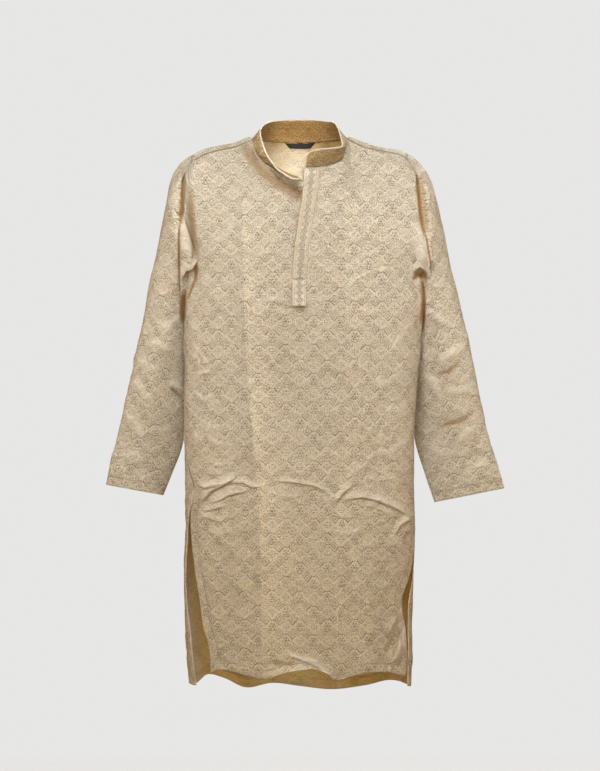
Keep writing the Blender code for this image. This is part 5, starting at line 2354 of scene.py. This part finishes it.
@dataclass
class Placket:
    """The overlap strip beside the neck slit and the stitched tab below it."""

    strip_cut: Cut = Cut(
        "strip", "placket_strip", (0.032, 0.214), 0.0063, "stretched", ("front_cloth",), STRIP_WALL
    )
    tab_cut: Cut = Cut(
        "tab", "placket_tab", (0.026, 0.050), 0.00123, "stretched", ("front_cloth",), STRIP_WALL
    )
    strip_stitches: tuple[float, float] = (0.003, 0.0265)
    tab_stitch: float = 0.0025
    tab_box: float = 0.026
    tab_sides: tuple[float, float] = (0.05, 0.96)
    tab_rows: tuple[float, float] = (0.08, 0.92)
    left_round: float = 0.0008
    left_round_share: float = 0.07
    right_round: float = 0.0022
    right_round_from: float = 0.86
    puff: float = 0.0005
    pucker: float = 0.0003
    pucker_pitch: float = 0.0125
    wave: float = 0.0006
    wave_size: float = 0.022
    chain_centre: float = 0.0072
    ridge: Crease = Crease(((23, -82), (46, -57)), 4, 1.2)
    edge_shade: float = 0.0014
    edge_shade_rise: float = 0.004
    crown: float = 0.0006
    sag: float = 0.0012

    def strip(self, slit: Grid) -> Patch:
        """The strip over the slit's edge.

        Args:
            slit: the front's edge along the slit, from the hem up.

        Returns:
            The strip.
        """
        rows = np.vstack([slit[slit[:, 2] <= STRIP_END][-1], slit[slit[:, 2] > STRIP_END]])
        rows[0, 2] = STRIP_END
        level = rows[:, 2:]
        out = unit(np.cross((1.0, 0.0, 0.0), np.gradient(rows, axis=0)))
        steps = np.linspace(-STRIP_COVER, STRIP_WIDTH - STRIP_COVER, STRIP_COLUMNS + 1)
        share = np.linspace(0, 1, STRIP_COLUMNS + 1)
        height = STRIP_STANDS_OFF + self.puff * np.sin(np.pi * share) ** 0.6
        near = np.clip(1 - share / self.left_round_share, 0, 1)
        height = height - self.left_round * (1 - np.sqrt(1 - near**2))
        falls = (share - self.right_round_from) / (1 - self.right_round_from)
        height = height - self.right_round * soft_step(falls)
        beat = np.sin(2 * np.pi * level / self.pucker_pitch)
        height = height + self.pucker * beat * np.abs(np.cos(np.pi * share)) ** 3
        cloth = np.stack(np.broadcast_arrays(steps - self.chain_centre, level), axis=-1)
        height += self.wave * value_noise(cloth / self.wave_size, 61)
        grid = rows[:, None, :] + steps[None, :, None] * np.array((1.0, 0.0, 0.0))
        spots = (grid[..., [0, 2]] / MM).reshape(-1, 2)
        away = beside(np.array(self.ridge.line, dtype=float), spots)[0].reshape(height.shape)
        height += self.ridge.raised * MM * bell(away / self.ridge.width)
        points = grid + out[:, None, :] * height[..., None]
        # Painted shade under the strip's lifted left edge, where it lies over the slit.
        shaded = bell((steps + STRIP_COVER) / self.edge_shade)
        shaded = shaded * soft_step((level - STRIP_END) / self.edge_shade_rise)
        marks = np.stack([shaded * SHALLOW[0], np.zeros_like(shaded)], axis=-1)
        return Patch(points, cloth, borders(points, (), ()), marks)

    def tab(self) -> Patch:
        """The tab, its foot standing a little off the cloth.

        Returns:
            The tab.
        """
        down = np.linspace(1, 0, TAB_ROWS + 1)[:, None]
        across = np.linspace(-TAB_WIDTH / 2, TAB_WIDTH / 2, TAB_COLUMNS + 1)
        curved = np.cos(np.pi * across / TAB_WIDTH)
        level = TAB_TOP - TAB_HEIGHT * down
        lift = STRIP_STANDS_OFF + TAB_LIFT * down**3 + self.crown * curved**0.5
        front = along(BODY, level[:, 0])[:, 2:3]
        sides = (TAB_CENTRE + across, -front - lift, level - self.sag * curved**2 * down**4)
        grid = np.stack(np.broadcast_arrays(*sides), axis=-1)
        cloth = grid[..., [0, 2]] - np.array((TAB_CENTRE, 0.0))
        return Patch(grid, cloth, borders(grid, (), ()))

    def build(self, finishes: Finishes, slit: Grid) -> None:
        """Args:
            finishes: the materials.
            slit: the front's edge along the slit.
        """
        strip, tab = self.strip(slit), self.tab()
        sewn = Stitching("strip_stitches")
        for inset in self.strip_stitches:
            sewn.follow(strip.points, Edge.FIRST, inset)
        self.strip_cut.make((strip,), (finishes.placket, finishes.inside), sewn, finishes.thread)
        sewn = Stitching("tab_stitches")
        for edge in (Edge.FIRST, Edge.LAST):
            sewn.follow(tab.points, edge, self.tab_stitch, *self.tab_sides)
        for inset in (self.tab_stitch, self.tab_box):
            sewn.follow(tab.points, Edge.HEAD, inset, *self.tab_rows)
        self.tab_cut.make((tab,), (finishes.tab, finishes.inside), sewn, finishes.thread)


@dataclass
class NeckLabel:
    """The woven label at the back of the neck, left bare."""

    cut: Cut = Cut(
        "label", "neck_label", (0.062, 0.012), 0.00062, "hung", ("back_cloth",), LABEL_WALL, "label_satin"
    )
    stands_off: float = 0.0029

    def build(self, finishes: Finishes) -> None:
        """Args:
            finishes: the materials.
        """
        neck = np.array(NECK_BACK_LEFT + NECK_BACK_RIGHT[-2::-1])
        rows = []
        for share in np.linspace(1, 0, LABEL_ROWS + 1):
            half = (LABEL_TOP_WIDTH + (LABEL_FOOT_WIDTH - LABEL_TOP_WIDTH) * share) / 2
            across = np.linspace(-half, half, LABEL_COLUMNS + 1)
            offset = LABEL_HEIGHT * share * np.array(LABEL_HANG) + np.array(LABEL_INWARD) * self.stands_off
            rows.append(np.column_stack([across, along(neck, across) + offset]))
        grid = np.array(rows)
        patch = Patch(grid, grid[..., [0, 2]], borders(grid, (), ()))
        self.cut.make((patch,), (finishes.satin, finishes.satin))


@dataclass(frozen=True)
class Lamp:
    """A round area light that looks at a point, or a spot light where it has a cone in degrees."""

    name: str
    place: tuple[float, float, float]
    target: tuple[float, float, float]
    size: float
    power: float
    colour: tuple[float, float, float] = (1.0, 1.0, 1.0)
    cone: float = 0.0

    def light(self) -> None:
        """Makes the light."""
        lamp = bpy.data.lights.new(self.name, "SPOT" if self.cone else "AREA")
        if self.cone:
            lamp.spot_size = np.radians(self.cone)
            lamp.spot_blend = 1.0
            lamp.shadow_soft_size = self.size
        else:
            lamp.shape = "DISK"
            lamp.size = self.size
        lamp.energy = self.power
        lamp.color = self.colour
        made = link_object(self.name, lamp)
        made.location = self.place
        aim = Vector(self.target) - Vector(self.place)
        made.rotation_euler = aim.to_track_quat("-Z", "Y").to_euler()
        made.visible_camera = False


LAMPS = (
    Lamp("key", (-0.12, -1.50, 1.25), (0.0, 0.0, -0.40), 0.6, 30.4, (0.885, 0.955, 1.0)),
    Lamp("front_fill", (-0.3, -1.6, -0.5), (0.0, 0.0, -0.6), 1.0, 5.0, (1.0, 0.87, 0.66)),
    Lamp("front_left", (-2.1, -1.5, 0.1), (-0.1, 0.0, -0.4), 1.0, 14.0, (1.0, 0.91, 0.76)),
    Lamp("front_right", (2.1, -1.5, 0.1), (0.1, 0.0, -0.4), 1.0, 18.0, (1.0, 0.92, 0.78)),
    Lamp("arm_light_left", (-0.9, -2.35, 0.05), (-0.26, 0.0, -0.14), 0.25, 130.0, (1.0, 0.93, 0.86), 11.0),
    Lamp("cuff_light_left", (-0.9, -2.35, -0.35), (-0.32, 0.0, -0.48), 0.25, 72.0, (1.0, 0.90, 0.76), 11.0),
    Lamp("arm_light_right", (0.9, -2.35, 0.05), (0.27, 0.0, -0.14), 0.25, 156.0, (1.0, 0.96, 0.96), 11.0),
    Lamp("cuff_light_right", (0.9, -2.35, -0.35), (0.32, 0.0, -0.48), 0.25, 104.0, (1.0, 0.92, 0.81), 11.0),
    Lamp("neck_light", (-0.05, -1.55, 0.27), (-0.018, 0.055, -0.045), 0.04, 122.0, (1.0, 0.96, 1.0), 3.8),
    Lamp("back_key", (0.4, 1.9, 1.3), (0.0, 0.0, -0.40), 0.9, 64.0, (1.0, 0.985, 0.96)),
    Lamp("side_left", (-2.6, 1.2, 0.5), (0.0, 0.0, -0.5), 1.4, 5.0, (1.0, 0.90, 0.76)),
    Lamp("side_right", (2.6, 1.2, 0.5), (0.0, 0.0, -0.5), 1.4, 5.0, (1.0, 0.90, 0.76)),
)


@dataclass
class Studio:
    """The floor, the lights and the camera."""

    floor_level: float = -1.30
    floor_size: float = 12.0
    distance: float = 12.0
    centre_height: float = -0.4665
    frame_height: float = 1.4649
    lamps: tuple[Lamp, ...] = LAMPS
    backdrop: Colour = (0.80, 0.795, 0.79, 1.0)
    ambient: Colour = (0.33, 0.225, 0.110, 1.0)

    def set_camera(self) -> None:
        """Puts a long lens straight in front of the garment."""
        lens = bpy.data.cameras.new("camera")
        lens.sensor_width = 36.0
        lens.lens = lens.sensor_width * self.distance / self.frame_height
        lens.clip_end = 60.0
        camera = link_object("camera", lens)
        camera.location = (0.0, -self.distance, self.centre_height)
        camera.rotation_euler = (np.pi / 2, 0.0, 0.0)
        bpy.context.scene.camera = camera

    def set_world(self) -> None:
        """Sets a pale backdrop for the camera and a warmer, dimmer light from all round."""
        world = bpy.data.worlds.new("studio")
        world.use_nodes = True
        g = Graph(world.node_tree)
        seen = g.read("ShaderNodeBackground", {"Color": self.backdrop})
        lit = g.read("ShaderNodeBackground", {"Color": self.ambient})
        camera = g.read("ShaderNodeLightPath", {}, "Is Camera Ray")
        chosen = g.read("ShaderNodeMixShader", {0: camera, 1: lit, 2: seen})
        g.node("ShaderNodeOutputWorld", {"Surface": chosen})
        bpy.context.scene.world = world

    def build(self) -> None:
        """Sets the camera, the backdrop, the lights and the floor."""
        self.set_camera()
        self.set_world()
        for lamp in self.lamps:
            lamp.light()
        mesh = bpy.data.meshes.new("floor")
        work = bmesh.new()
        bmesh.ops.create_grid(work, x_segments=4, y_segments=4, size=self.floor_size / 2)
        work.to_mesh(mesh)
        work.free()
        mesh.materials.append(FloorFinish().make())
        floor = link_object("floor", mesh)
        floor.location = (0.0, 0.0, self.floor_level)
        bpy.context.scene.view_settings.view_transform = "Standard"


def main() -> None:
    """Builds the kurta in order and reports each piece."""
    logging.basicConfig(level=logging.INFO, format="%(message)s")
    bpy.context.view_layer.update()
    finishes = Finishes.make()
    _, right = FrontPanel().build(finishes)
    BackPanel().build(finishes)
    left_hole, right_hole = (ARMHOLE_FRONT_LEFT, ARMHOLE_BACK_LEFT), (ARMHOLE_FRONT_RIGHT, ARMHOLE_BACK_RIGHT)
    left_folds, right_folds = (SLEEVE_LEFT_CREASES, Rumple(seed=71)), (SLEEVE_RIGHT_CREASES, Rumple(seed=91))
    Sleeve("sleeve_left", -1, SLEEVE_LEFT, *left_hole, *left_folds).build(finishes)
    right_sleeve = Sleeve("sleeve_right", 1, SLEEVE_RIGHT, *right_hole, *right_folds, 0.010, 0.015)
    right_sleeve.build(finishes)
    Collar().build(finishes)
    Placket().build(finishes, right.points[:, 0])
    NeckLabel().build(finishes)
    Studio().build()


if __name__ == "__main__":
    main()
